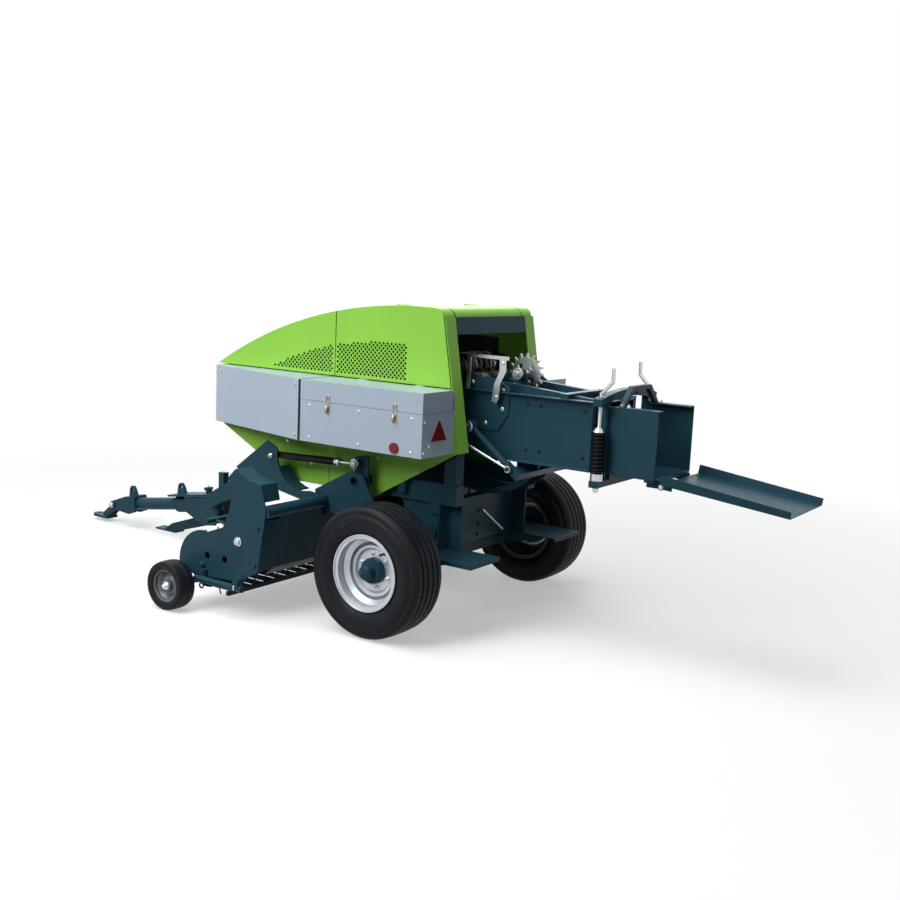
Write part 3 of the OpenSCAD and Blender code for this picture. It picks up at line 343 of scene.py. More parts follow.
rubber = Finish("tyre_rubber")
scuff = rubber.spread(rubber.noise(7.0, 6.0), 0.0, 1.0, 0.4, 0.7)
bloom = rubber.mix(scuff, linear(16, 20, 24), linear(27, 31, 37))
dusty = rubber.spread(rubber.noise(60.0, 4.0), 0.0, 0.16, 0.55, 0.8)
rubber.feed("Base Color", rubber.mix(dusty, bloom, linear(95, 92, 86)))
rubber.feed("Roughness", rubber.spread(scuff, 0.44, 0.6, 0.0, 1.0))
rubber.feed("Normal", rubber.bump(rubber.noise(420.0, 2.0), 0.0006, 0.3))
rubber.give(Specular_IOR_Level=0.13)
for side, hand in hands:
    grid = around((0.0, hand * wheel_y, axle_z), tyre_section(), 240)
    tyre = skin(f"ribbed_tyre_{side}", grid, rubber.material, f"wheel_{side}", True, 50.0)
    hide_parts(f"tyre_{side}")

# The rims are pressed and welded steel with a stepped dish, sprayed silver in front. Their backs carry
# painted shade: a dark, less metallic colour standing in for the shadow there. Six nuts hold each to a
# turned hub with a grease cap; a valve stands through the well.
rim_silver = Finish("wheel_silver")
from_middle = rim_silver.combine("ABSOLUTE", rim_silver.axis("Y"))
front_face = rim_silver.spread(from_middle, 0.0, 1.0, wheel_y - 0.004, wheel_y + 0.004)
cloud = rim_silver.spread(rim_silver.noise(9.0, 5.0), 0.0, 1.0)
silver = rim_silver.mix(cloud, linear(186, 191, 198), linear(207, 211, 217))
# painted shade: the rims' backs are coloured dark grey and made less metallic in place of the shadow that
# falls there
painted_shade_back = rim_silver.mix(cloud, linear(31, 35, 39), linear(51, 54, 56))
rim_peel = rim_silver.noise(240.0, 2.0)
rim_silver.feed("Base Color", rim_silver.mix(front_face, painted_shade_back, silver))
rim_silver.feed("Metallic", rim_silver.spread(front_face, 0.0, 0.55, 0.0, 1.0))
rim_silver.feed("Roughness", rim_silver.spread(rim_silver.noise(30.0, 5.0), 0.28, 0.42))
rim_silver.feed("Normal", rim_silver.bump(rim_peel, 0.0005, 0.12, rim_silver.edge(0.002)))
rim_silver.give(Specular_IOR_Level=0.3)
dress(rim_silver.material, "rim_left", "rim_right")
dress(teal_paint, "hub_left", "hub_right")


def turned_rows(profile, points=24):
    """The outlines and heights of a turned piece from its profile of (radius, height) pairs."""
    profile = np.asarray(profile, dtype=float)
    return profile[:, 0, None, None] * circle(points), profile[:, 1]


disc_y, well_y, cap_y = wheel_y + 0.0142, wheel_y + 0.029, wheel_y + 0.114
nut_ring = 0.0975
nut_turn = np.radians(np.arange(6) * 60.0 + 20.0)
valve_ring, valve_turn = 0.138, 2.2
valve_x, valve_z = valve_ring * math.cos(valve_turn), axle_z + valve_ring * math.sin(valve_turn)
valve = turned_rows([(0.0, 0.0), (0.012, 0.0), (0.009, 0.008), (0.0055, 0.012), (0.0055, 0.036),
                     (0.0072, 0.037), (0.0072, 0.046), (0.004, 0.048), (0.0, 0.048)], 16)
plug = turned_rows([(0.0, 0.0), (0.03, 0.0), (0.03, 0.002), (0.012, 0.005), (0.008, 0.006),
                    (0.008, 0.011), (0.005, 0.013), (0.0, 0.013)])
for side, hand in hands:
    body, facing = f"wheel_{side}", (0, hand, 0)
    nut_places = np.stack([nut_ring * np.cos(nut_turn), np.full(6, hand * disc_y),
                           axle_z + nut_ring * np.sin(nut_turn)], axis=-1)
    bolts(f"wheel_nuts_{side}", nut_places, facing, 0.014, zinc_plate, body, "bright_steel", 0.007)
    valve_place = [(valve_x, hand * well_y, valve_z)]
    raised(f"valve_stem_{side}", valve_place, facing, *valve, rubber.material, body, "tyre")
    plug_place = [(0.0, hand * cap_y, axle_z)]
    raised(f"hub_cap_plug_{side}", plug_place, facing, *plug, teal_paint, body, "teal_paint")

# The steps are folded tread plate on welded brackets behind each wheel, with a pattern of raised
# lozenges pressed into the top so that a boot grips in the wet.
dress(teal_paint, "steps")


def node_box(name):
    """The low and high corner of a solid, measured from the axle."""
    return [np.array(corner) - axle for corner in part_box(name)]


def both_sides(points):
    """Points with their mirror images across the machine's middle."""
    points = np.atleast_2d(np.asarray(points, dtype=float))
    return np.concatenate([points, points * [1.0, -1.0, 1.0]])


step_low, step_high = node_box("steps")
tread_pitch, tread_z = 0.034, 0.447
tread_x, tread_y = np.meshgrid(np.arange(step_low[0] + 0.03, -0.16, tread_pitch),
                               np.arange(0.345, step_high[1] - 0.02, tread_pitch))
tread_order = np.arange(tread_x.size).reshape(tread_x.shape) + np.arange(tread_x.shape[0])[:, None]
tread_turn = np.where(tread_order % 2, 1.0, -1.0).ravel()
tread_places = np.stack([tread_x.ravel(), tread_y.ravel(), np.full(tread_x.size, tread_z)], axis=-1)
lozenge = circle(10) * [0.014, 0.0042]
slope = math.sqrt(0.5)
for name, turn in (("rising", 1.0), ("falling", -1.0)):
    leaning = lozenge @ np.array([[slope, turn * slope], [-turn * slope, slope]])
    drawn = [0 * leaning, leaning, 0.75 * leaning, 0 * leaning]
    raised(f"step_tread_{name}", both_sides(tread_places[tread_turn == turn]), (0, 0, 1), drawn,
           [0.0, 0.0, 0.0022, 0.0026], teal_paint, "chassis", "teal_paint", 80.0)

# The drawbar is a round tube in a welded fork, with a clevis of two straps on its pin. The parking stand
# hinges beside it. Pins are bright, and a spring clip keeps the stand's pin in its place.
dress(teal_paint, "drawbar", "hitch_link", "parking_stand")
tilt = math.radians(8.6)
root = np.array([2.100, 0.0, 0.324])
tube_way = np.array([math.cos(tilt), 0.0, -math.sin(tilt)])
tube_up = np.array([math.sin(tilt), 0.0, math.cos(tilt)])
sideways = np.array([0.0, 1.0, 0.0])
fork_y, fork_top = 0.0795, 0.060
pin_half = 0.076
neck_x, neck_y = 1.302, 0.109


def on_drawbar(along, side, lift):
    """A point given along the drawbar from its root, to the left and square to it."""
    return root + along * tube_way + side * sideways + lift * tube_up


def outward(count=1):
    """The ways that the left and right faces look, for a number of places on each side."""
    return np.repeat([[0, 1, 0], [0, -1, 0]], count, axis=0)


def weld(name, ends, radius=0.005):
    """Weld beads, each from one point to another: a thin roll with the ripple of the arc's steps."""
    ends = np.asarray(ends, dtype=float)
    share = np.linspace(0.0, 1.0, 60)[None, :, None]
    path = ends[:, :1] * (1.0 - share) + ends[:, 1:] * share
    ripple = radius * (1.0 + 0.22 * np.sin(share[0, :, 0] * 60.0 * np.pi))
    return tube(name, path, ripple, teal_paint, "chassis", 8, (0.21, 0.34, 0.91))


hoop_turn = np.linspace(0.0, 2.0 * np.pi, 48, endpoint=False)[:, None]
hoop = np.cos(hoop_turn) * sideways + np.sin(hoop_turn) * tube_up
for name, along, radius in (("sleeve_weld_front", 0.431, 0.047), ("sleeve_weld_rear", 0.229, 0.065)):
    tube(name, root + along * tube_way + radius * hoop, 0.005, teal_paint, "chassis", 8,
         tube_way, loop=True)
weld("drawbar_welds", [[on_drawbar(along, hand * fork_y, fork_top) for along in (0.03, 0.28)]
                       for hand in (1, -1)])
pin_ends = [on_drawbar(1.12, hand * pin_half, 0.0) for hand in (1, -1)]
bolts("hitch_pin_heads", pin_ends, outward(), 0.02, zinc_plate, "chassis", "bright_steel")
nipple = turned_rows([(0.0, 0.0), (0.006, 0.0), (0.006, 0.006), (0.0035, 0.008), (0.0035, 0.013),
                      (0.0048, 0.015), (0.0030, 0.018), (0.0, 0.018)], 14)
king_pin = on_drawbar(0.11, 0.0, 0.12)
raised("king_pin_nipple", [king_pin], tube_up, *nipple, zinc_plate, "chassis", "bright_steel")
clip_place = np.array([2.160, node_box("parking_stand")[0][1] + 0.040, 0.204])
clip_r, clip_step = 0.016, 0.004
clip_turn = np.linspace(0.0, 2.6 * np.pi, 60)
clip = np.stack([clip_r * np.cos(clip_turn), -clip_step * clip_turn / np.pi,
                 clip_r * np.sin(clip_turn)], axis=-1)
tube("stand_pin_clip", clip_place + clip, 0.0022, zinc_plate, "chassis", 8, (0, 1, 0))
weld("neck_welds", [[(neck_x, hand * neck_y, z) for z in (0.722, 0.838)] for hand in (1, -1)])

# The hood is sheet steel sprayed lime green: a fixed front, a roof spine and two doors that lift like
# wings. Behind the punched vents lies a black dust gauze, and small bolts hold the lower hull.
green_paint = sprayed("lime_enamel", linear(145, 206, 76), 0.36, 0.0, 0.012, gloss=0.2)
dress(green_paint, "hood_front", "roof_spine", "hood_door_left", "hood_door_right", "rear_surround",
      "lower_hull")
dress(teal_paint, "rear_visor")
gauze = Finish("dust_gauze")
threads = [gauze.nodes.new("ShaderNodeTexWave") for _ in range(2)]
for thread, direction in zip(threads, ("X", "Z")):
    thread.bands_direction = direction
    thread.inputs["Scale"].default_value = 60.0
    gauze.link(gauze.place, thread.inputs["Vector"])
weave = gauze.combine("MAXIMUM", *(thread.outputs["Fac"] for thread in threads))
gauze.feed("Base Color", gauze.mix(weave, linear(6, 9, 7), linear(24, 34, 22)))
gauze.feed("Normal", gauze.bump(weave, 0.001))
gauze.give(Roughness=0.8)
hood_low, hood_high = node_box("hood_front")
door_high = node_box("hood_door_left")[1]
hood_z = hood_low[2]
hood_y = hood_high[1]
vent_rise = 0.532 * (node_box("roof_spine")[1][2] - hood_z)
vent_arc_r, vent_crown_x = 2.1, 0.25


def vent_height(x):
    """The height of the vents' upper edge at a station: a flat arc falling off forward."""
    return hood_z + vent_rise - vent_arc_r + np.sqrt(vent_arc_r ** 2 - (x - vent_crown_x) ** 2)


def gauze_sheet(name, x0, x1, side, body):
    """A flat sheet behind the vents: at each station a narrow section from the hem up to the vents'
    edge, drawn together to a point at both ends."""
    x = np.linspace(x0, x1, 24)
    x = np.concatenate([x[:1], x, x[-1:]])
    shut = np.ones_like(x)
    shut[[0, -1]] = 0.0
    top = np.maximum(vent_height(x), hood_z + 0.03) + 0.012
    low = np.full_like(x, hood_z + 0.006)
    middle = (top + low) / 2
    y = side * (hood_y - 0.007)
    rim = [(0.0, low), (0.0, top), (-0.002, top), (-0.002, low)]
    columns = [np.stack([x, y + side * depth * shut, middle + (z - middle) * shut], axis=-1)
               for depth, z in rim]
    skin(name, np.stack(columns, axis=1) + axle, gauze.material, body, crease=20.0)


for side, hand in hands:
    gauze_sheet(f"vent_gauze_front_{side}", hood_low[0] + 0.03, 1.20, hand, "chassis")
    gauze_sheet(f"vent_gauze_door_{side}", 0.09, door_high[0] - 0.03, hand, f"door_{side}")
hull_places = [(x, hood_y, z) for x, z in ((0.815, 0.843), (0.30, 0.94), (0.12, 0.98), (1.02, 0.96))]
bolts("hull_bolts", both_sides(hull_places), outward(4), 0.009, zinc_plate, "chassis", "bright_steel")

# The twine boxes are folded sheet steel boxes bolted to the frame, sprayed grey, each with a lid that
# swings up on two butt hinges and is held shut by two toggle latches. Red lenses mark the corner.
grey_paint = sprayed("grey_enamel", linear(170, 185, 201), 0.34, 0.2, 0.02)
dress(grey_paint, "front_shield", "twine_box_left", "twine_box_right", "twine_lid_left", "twine_lid_right")
box_low, box_high = node_box("twine_box_left")
lid_high = node_box("twine_lid_left")[1]
shield_high = node_box("front_shield")[1]


def rivets(name, places, facing, radius, material, body, slot):
    """Dome-headed rivets: half an ellipse turned about the way the face looks."""
    rise = np.linspace(0.0, np.pi / 2, 6)
    profile = np.stack([radius * np.cos(rise), 0.55 * radius * np.sin(rise)], axis=-1)
    drawn, lifts = turned_rows(np.concatenate([[[0.0, 0.0]], profile]), 16)
    return raised(name, places, facing, drawn, lifts, material, body, slot)


side_rivets = [(x, box_high[1], z) for z in (1.252, 1.063) for x in (0.578, 0.208, -0.165)]
rivets("twine_box_rivets", both_sides(side_rivets), outward(6), 0.009, zinc_plate, "chassis",
       "bright_steel")
end_rivets = [(box_low[0], y, z) for y, z in ((0.716, 1.100), (0.765, 1.065), (0.765, 1.235))]
rivets("twine_box_end_rivets", both_sides(end_rivets), (-1, 0, 0), 0.008, zinc_plate, "chassis",
       "bright_steel")
slant = np.array([0.235, 0.972, 0.0])
slants = np.repeat([slant, slant * [1, -1, 1]], 4, axis=0)
shield_edges = ((shield_high[0] - 0.085, 0.578), (0.70, 0.7768))
shield_places = [(x, y, z) for x, y in shield_edges for z in (1.065, 1.365)]
bolts("shield_bolts", both_sides(shield_places), slants, 0.008, zinc_plate, "chassis", "bright_steel")


def tablet(width, height, corner, points=32):
    """A rectangle with rounded corners: a circle's quarters pushed out to the four corners."""
    start = np.array([[math.cos(0.1), math.sin(0.1)], [-math.sin(0.1), math.cos(0.1)]])
    ring = circle(points) @ start
    return corner * ring + np.sign(ring) * [width / 2 - corner, height / 2 - corner]


def stub_rows(outline, end):
    """The outlines of a straight stub, shut below and drawn in to a share of its width at its end."""
    return [0 * outline, outline, outline, end * outline, 0 * outline]


latch_steel = plated("passivated_steel", linear(156, 145, 124), 0.34, 0.02)
latch_x = (0.437, -0.049)
plate_z, loop_z, keep_z = 1.240, 1.286, 1.310
plate = stub_rows(tablet(0.034, 0.050, 0.006), 0.92)
keep = stub_rows(tablet(0.030, 0.030, 0.006), 0.9)
plate_lifts = [0.0, 0.0, 0.002, 0.003, 0.003]
toggle_z = np.linspace(1.222, 1.262, 12)
toggle_out = 0.007 + 0.010 * np.sin(np.linspace(0.0, np.pi, 12))
toggle_r = 0.006 + 0.004 * np.sin(np.linspace(0.1, 3.0, 12))
wire_turn = np.linspace(-0.5 * np.pi, 1.5 * np.pi, 40, endpoint=False)
wire_x = 0.010 * np.clip(1.6 * np.cos(wire_turn), -1, 1)
wire_z = loop_z + 0.036 * np.clip(1.3 * np.sin(wire_turn), -1, 1)
for side, hand in hands:
    facing = (0, hand, 0)
    box_y, lid_y = hand * box_high[1], hand * lid_high[1]
    raised(f"latch_plates_{side}", [(x, box_y, plate_z) for x in latch_x], facing, plate, plate_lifts,
           latch_steel, "chassis", "bright_steel")
    raised(f"latch_keeps_{side}", [(x, lid_y, keep_z) for x in latch_x], facing, keep, plate_lifts,
           latch_steel, f"lid_{side}", "bright_steel")
    toggles = [np.stack([np.full(12, x), box_y + hand * toggle_out, toggle_z], axis=-1) for x in latch_x]
    tube(f"latch_toggles_{side}", toggles, toggle_r, latch_steel, "chassis", 14, (1, 0, 0))
    wires = [np.stack([x + wire_x, np.full(40, box_y + hand * 0.009), wire_z], axis=-1) for x in latch_x]
    tube(f"latch_loops_{side}", wires, 0.002, zinc_plate, "chassis", 8, (0, 1, 0),
         loop=True)

lens = Finish("red_lens")
facet = lens.nodes.new("ShaderNodeTexVoronoi")
facet.inputs["Scale"].default_value = 170.0
lens.link(lens.place, facet.inputs["Vector"])
facet_edge = lens.spread(facet.outputs["Distance"], 0.0, 1.0, 0.1, 0.7)
lens.feed("Base Color", lens.mix(facet_edge, linear(172, 14, 18), linear(104, 5, 9)))
lens.feed("Normal", lens.bump(facet.outputs["Distance"], 0.001, 0.35))
lens.give(Roughness=0.18, Coat_Weight=0.2, Coat_Roughness=0.04, Specular_IOR_Level=0.25)
dress(lens.material, "reflectors")

# The shaft guard is a moulded black plastic cone round the splined input shaft, screwed to the front
# shield with a ring of small bolts through its flange.
black_plastic = sprayed("black_plastic", linear(24, 25, 26), 0.48, 0.0, 0.02, 0.002, 0.15)
dress(black_plastic, "shaft_guard")
guard_low, guard_high = node_box("shaft_guard")
guard_z = (guard_low[2] + guard_high[2]) / 2
guard_ring = 0.103
guard_turn = np.radians(np.arange(8) * 45.0 + 22.5)
guard_places = np.stack([np.full(8, guard_low[0] + 0.006), guard_ring * np.cos(guard_turn),
                         guard_z + guard_ring * np.sin(guard_turn)], axis=-1)
bolts("guard_screws", guard_places, (1, 0, 0), 0.006, zinc_plate, "chassis", "bright_steel")
steel_end = Finish("turned_steel")
ringed = steel_end.noise(160.0, 3.0, (1.0, 0.06, 0.06))
steel_end.feed("Base Color", steel_end.mix(ringed, linear(150, 153, 156), linear(196, 198, 200)))
steel_end.feed("Roughness", steel_end.spread(ringed, 0.2, 0.4))
steel_end.give(Metallic=1.0)


def toothed(teeth, mean_r, half_depth, steepness, points):
    """A toothed outline: the radius goes up and down about a mean as a clipped sine of the angle."""
    turn = np.linspace(0.0, 2.0 * np.pi, teeth * points, endpoint=False)
    reach = mean_r + half_depth * np.clip(steepness * np.sin(teeth * turn), -1.0, 1.0)
    return np.stack([reach * np.cos(turn), reach * np.sin(turn)], axis=-1)


splines = stub_rows(toothed(6, 0.0178, 0.0022, 2.2, 16), 0.86)
spline_place = (node_box("gearbox")[1][0] - 0.075, 0.0, guard_z)
raised("input_splines", [spline_place], (1, 0, 0), splines, [0.0, 0.0, 0.072, 0.0755, 0.0755],
       steel_end.material, "chassis", "bright_steel")

# The bale chamber is heavy plate with rolled flanges, bolted through its sides to the wear rails
# inside. The tension panels close in behind it and the chute hangs from the end on two pins.
dress(teal_paint, "chamber_walls", "chamber_floor", "chamber_roof", "tension_frame", "chute")
wall_y = 0.238
cheek_y = wall_y + 0.008
seam_y, seam_z = 0.2385, 1.009
wall_places = [(x, wall_y, z) for x in (-0.576, -0.662, -0.938) for z in (1.334, 1.073)]
rivets("chamber_bolts", both_sides(wall_places), outward(6), 0.011, black_plastic, "chassis",
       "black_paint")
cheek_places = [(x, cheek_y, z) for x, z in ((-0.41, 1.40), (-0.41, 1.29), (-0.20, 1.43), (-0.30, 1.20))]
bolts("cheek_bolts", both_sides(cheek_places), outward(4), 0.012, zinc_plate, "chassis", "bright_steel")
strap_places = both_sides([(x, 0.205, 1.374) for x in (-1.145, -1.185)])
bolts("strap_nuts", strap_places, (0, 0, 1), 0.012, zinc_plate, "chassis", "bright_steel", 0.006)
chute_pins = both_sides([(-1.406, 0.214, 0.972)])
bolts("chute_pin_heads", chute_pins, outward(), 0.012, zinc_plate, "chassis", "bright_steel")
weld("chamber_welds", [[(x, hand * seam_y, seam_z) for x in (-0.99, -0.30)] for hand in (1, -1)], 0.004)

# The bale density is set by two long coil springs on screws, each with a crank at the top. The springs
# are black, wound from round wire with closed ends; the screws are bright, and threaded where the
# crank turns.
black_paint = sprayed("black_enamel", linear(16, 17, 20), 0.36, 0.0, 0.006, gloss=0.12)
spring_low, spring_high = node_box("tension_springs")
spring_len = spring_high[2] - spring_low[2]
spring_r, wire_r, spring_turns = 0.0295, 0.0072, 11.0
screw_x, screw_y = (spring_low[0] + spring_high[0]) / 2, 0.300
share = np.linspace(0.0, 1.0, 420)
spring_rise = np.interp(share, [0.0, 0.08, 0.92, 1.0], [0.0, 0.03, 0.97, 1.0])
spring_z = spring_low[2] + wire_r + spring_rise * (spring_len - 2 * wire_r)
spring_turn = 2.0 * np.pi * spring_turns * share
coil = np.stack([screw_x + spring_r * np.cos(spring_turn), screw_y + spring_r * np.sin(spring_turn),
                 spring_z], axis=-1)
coils = [coil * [1.0, hand, 1.0] for hand in (1.0, -1.0)]
springs = tube("tension_coils", coils, wire_r, black_paint, "chassis", 10)
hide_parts("tension_springs")
bore_r, sleeve_r = 0.0115, 0.0225
sleeve = turned_rows([(bore_r, 0.0), (sleeve_r, 0.0), (sleeve_r, spring_len), (bore_r, spring_len),
                      (bore_r, 0.0)])
sleeve_places = both_sides([(screw_x, screw_y, spring_low[2])])
raised("spring_sleeves", sleeve_places, (0, 0, 1), *sleeve, black_paint, "chassis", "black_paint")
bright_steel = plated("bright_steel", linear(196, 198, 200), 0.26, 0.015, 0.0015)
dress(bright_steel, "tension_screws")
thread_r, thread_turns, thread_low, thread_len = 0.0112, 34.0, 1.262, 0.136
share = np.linspace(0.0, 1.0, 700)
thread_turn = 2.0 * np.pi * thread_turns * share
helix = np.stack([screw_x + thread_r * np.cos(thread_turn), thread_r * np.sin(thread_turn),
                  thread_low + thread_len * share], axis=-1)
helices = [helix + [0.0, hand * screw_y, 0.0] for hand in (1.0, -1.0)]
tube("screw_threads", helices, 0.0014, bright_steel, "chassis", 5)

# The knotters stand in a row on one cross shaft: cast frames, a geared disc for each, twine discs and a
# cam wheel at the shaft's end. They are bright where they were machined and oily everywhere.
oily_steel = Finish("oily_casting")
smear = oily_steel.noise(14.0, 5.0)
smeared = oily_steel.spread(smear, 0.0, 1.0)
grain = oily_steel.noise(220.0, 4.0)
oily_steel.feed("Base Color", oily_steel.mix(smeared, linear(52, 54, 52), linear(104, 106, 104)))
oily_steel.feed("Roughness", oily_steel.spread(smear, 0.25, 0.5))
oily_steel.feed("Normal", oily_steel.bump(grain, 0.001, 0.3, oily_steel.edge(0.002)))
oily_steel.give(Metallic=0.85)
dress(oily_steel.material, "knotters")
shaft_x, shaft_z = -0.040, 1.506
pinion_x, pinion_z = -0.150, 1.446
gear_places = [(shaft_x, y, shaft_z) for y in (0.030, 0.112)]
pinion_places = [(pinion_x, y, pinion_z) for y in (0.030, 0.132)]
gears = (("knotter_gears", gear_places, toothed(32, 0.075, 0.005, 1.8, 12), 0.008),
         ("knotter_pinions", pinion_places, toothed(12, 0.024, 0.004, 1.8, 12), 0.014))
for name, places, outline, half in gears:
    raised(name, both_sides(places), (0, 1, 0), [0 * outline, outline, outline, 0 * outline],
           [-half, -half, half, half], oily_steel.material, "chassis", "bright_steel", 25.0)
knotter_places = [(x, 0.056, z) for x, z in ((-0.165, 1.432), (-0.030, 1.445), (-0.105, 1.450))]
bolts("knotter_bolts", both_sides(knotter_places), outward(3), 0.010, zinc_plate, "chassis",
      "bright_steel")
collar = turned_rows([(0.0, -0.012), (0.026, -0.012), (0.028, -0.009), (0.028, 0.009), (0.026, 0.012),
                      (0.0, 0.012)])
collar_places = both_sides([(shaft_x, y, shaft_z) for y in (0.200, 0.275)])
raised("shaft_collars", collar_places, (0, 1, 0), *collar, bright_steel, "chassis", "bright_steel")

# The trip arm and the toothed metering wheel are cut from plate and zinc plated. The wheel's teeth walk
# on the moving bale and its shaft lifts the arm, which lets the knotters turn once.
dress(zinc_plate, "trip_arm", "metering_wheel")
star_low, star_high = node_box("metering_wheel")
star_x, star_z = (star_low[0] + star_high[0]) / 2, (star_low[2] + star_high[2]) / 2
hub_ring = 0.024
hub_places = [(star_x + hub_ring * math.cos(turn), 0.104, star_z + hub_ring * math.sin(turn))
              for turn in (0.5, 2.6, 4.7)]
bolts("star_hub_bolts", hub_places, (0, 1, 0), 0.006, zinc_plate, "star", "bright_steel")
trip_places = [(x, 0.286, z) for x, z in ((-0.388, 1.360), (-0.425, 1.555))]
bolts("trip_pivot", trip_places, (0, 1, 0), 0.011, zinc_plate, "chassis", "bright_steel")

# The needle yoke is bent bar on two arms from the chamber's pivots, and a plated rod drives it. A nut
# holds the rod's pin, and a plated ring lies on the end of each pivot.
dress(teal_paint, "needle_yoke")
dress(zinc_plate, "yoke_link")
yoke_x, yoke_z = -0.228, 1.177
arm_r, arm_turn = 0.356, math.radians(217.0)
cap = turned_rows([(0.021, 0.0), (0.033, 0.0), (0.033, 0.003), (0.030, 0.005), (0.021, 0.005),
                   (0.021, 0.0)])
pivot_places = both_sides([(yoke_x, 0.320, yoke_z)])
raised("yoke_pivot_caps", pivot_places, outward(), *cap, zinc_plate, "yoke", "bright_steel")
link_pin = (yoke_x + arm_r * math.cos(arm_turn), 0.336, yoke_z + arm_r * math.sin(arm_turn))
bolts("link_nut", [link_pin], (0, 1, 0), 0.011, teal_paint, "yoke", "teal_paint")

# The pickup is a tray between two end plates with a reel of spring tines under sheet bands, and a feed
# auger above. Flanged bearings carry the auger and large nuts hold the reel's shaft at the end plates,
# which are sprayed teal like the rest.
dress(teal_paint, "pickup_ends", "pickup_trough", "stripper_bank", "feed_auger", "gauge_arms")
dress(black_paint, "tine_reel")
end_y = node_box("pickup_ends")[1][1]
reel_x, reel_z = 1.080, 0.270
bearing, bearing_lifts = turned_rows([(0.0, 0.0), (0.046, 0.0), (0.046, 0.006), (0.040, 0.009),
                                      (0.034, 0.010), (0.032, 0.022), (0.026, 0.026), (0.0, 0.026)], 32)
raised("auger_bearings", both_sides([(0.796, end_y, 0.455)]), outward(), 0.62 * bearing,
       0.7 * bearing_lifts, zinc_plate, "pickup", "bright_steel")
reel_ends = both_sides([(reel_x, end_y, reel_z)])
bolts("reel_bearing_nuts", reel_ends, outward(), 0.020, teal_paint, "pickup", "teal_paint", 0.006)
end_places = [(x, end_y, z) for x, z in ((1.092, 0.208), (0.662, 0.335), (0.640, 0.560))]
bolts("end_plate_bolts", both_sides(end_places), outward(3), 0.012, teal_paint, "pickup", "teal_paint")
tine_pitch, tine_rows = 0.100, 22
tine_bar_ring, tine_coil_r = 0.128, 0.0165
tine_places = np.zeros((tine_rows, 1, 3))
tine_places[:, 0, 1] = (np.arange(tine_rows) - (tine_rows - 1) / 2) * tine_pitch
wind = np.linspace(0.0, 3.0, 40)
tine_coil = np.stack([tine_coil_r * np.cos(2 * np.pi * wind), 0.006 + 0.009 * wind,
                      tine_coil_r * np.sin(2 * np.pi * wind)], axis=-1)
tine_paths = []
for angle in np.radians([20.0, 110.0, 200.0, 290.0]):
    bar = np.array([reel_x + tine_bar_ring * math.cos(angle), 0.0,
                    reel_z - tine_bar_ring * math.sin(angle)])
    tine_paths.append(bar + tine_coil + tine_places)
tube("tine_coils", np.concatenate(tine_paths), 0.0038, black_paint, "reel", 5, (0, 1, 0))

# The gauge wheels run beside the pickup and keep its tines off the ground: a solid rubber tyre on a
# dished pressed rim, held on a stub axle by a chromed nut.
gauge_low, gauge_high = node_box("gauge_wheel_left")
gauge_r = (gauge_high[2] - gauge_low[2]) / 2
gauge_half = (gauge_high[1] - gauge_low[1]) / 2
gauge_centre = (gauge_low + gauge_high) / 2
rim_grey = sprayed("rim_grey", linear(100, 105, 111), 0.32, 0.2, 0.05)
chrome = Finish("chromed_nut")
sheen = chrome.mix(chrome.noise(40.0, 3.0), linear(206, 208, 212), linear(230, 232, 234))
chrome.feed("Base Color", sheen)
chrome.feed("Roughness", chrome.spread(chrome.noise(90.0, 3.0), 0.1, 0.22))
chrome.give(Metallic=1.0)
bulge = np.radians(np.linspace(-78.0, 78.0, 37))
tread_width = (gauge_half - 0.004) * np.sin(bulge) / math.sin(bulge[-1])
tread_radius = gauge_r - 0.020 + 0.020 * np.cos(bulge) ** 0.35
notch = 0.004 * np.clip((0.006 - np.abs(tread_width)) / 0.002, 0.0, 1.0)
tread = np.stack([tread_radius - notch, tread_width], axis=-1)
wall_r, bead_r, seat_low = gauge_r - 0.034, gauge_r - 0.052, gauge_r - 0.056
wall_half, bead_half = gauge_half - 0.002, gauge_half - 0.016
inner_side = [(bead_r, -bead_half), (wall_r, -wall_half)]
outer_side = [(wall_r, wall_half), (bead_r, bead_half), (seat_low, 0.0)]
rubber_section = np.concatenate([inner_side, tread, outer_side])
dish_r = gauge_r - 0.0515
dish = np.array([(0.0146, -0.056), (0.034, -0.056), (0.034, -0.020), (0.060, -0.018), (0.072, -0.026),
                 (0.088, -0.050), (dish_r, -0.050), (dish_r, 0.047), (0.090, 0.044), (0.086, 0.026),
                 (0.078, 0.020), (0.070, 0.006), (0.058, 0.010), (0.050, 0.016), (0.036, 0.016),
                 (0.034, 0.036), (0.0146, 0.036)])
for side, hand in hands:
    body, mirror = f"gauge_{side}", np.array([1.0, hand])
    centre = gauge_centre * [1.0, hand, 1.0]
    rubber_grid = around(centre, rubber_section * mirror, 96)
    gauge_tyre = skin(f"gauge_tyre_{side}", rubber_grid, rubber.material, body, True, 45.0)
    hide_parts(f"gauge_wheel_{side}")
    rim_grid = around(centre, dish * mirror, 72)
    skin(f"gauge_rim_{side}", rim_grid, rim_grey, body, True, 30.0)
    nut_face = centre + [0.0, hand * 0.0365, 0.0]
    bolts(f"gauge_nut_{side}", [nut_face], (0, hand, 0), 0.021, chrome.material, body, "bright_steel",
          0.008)

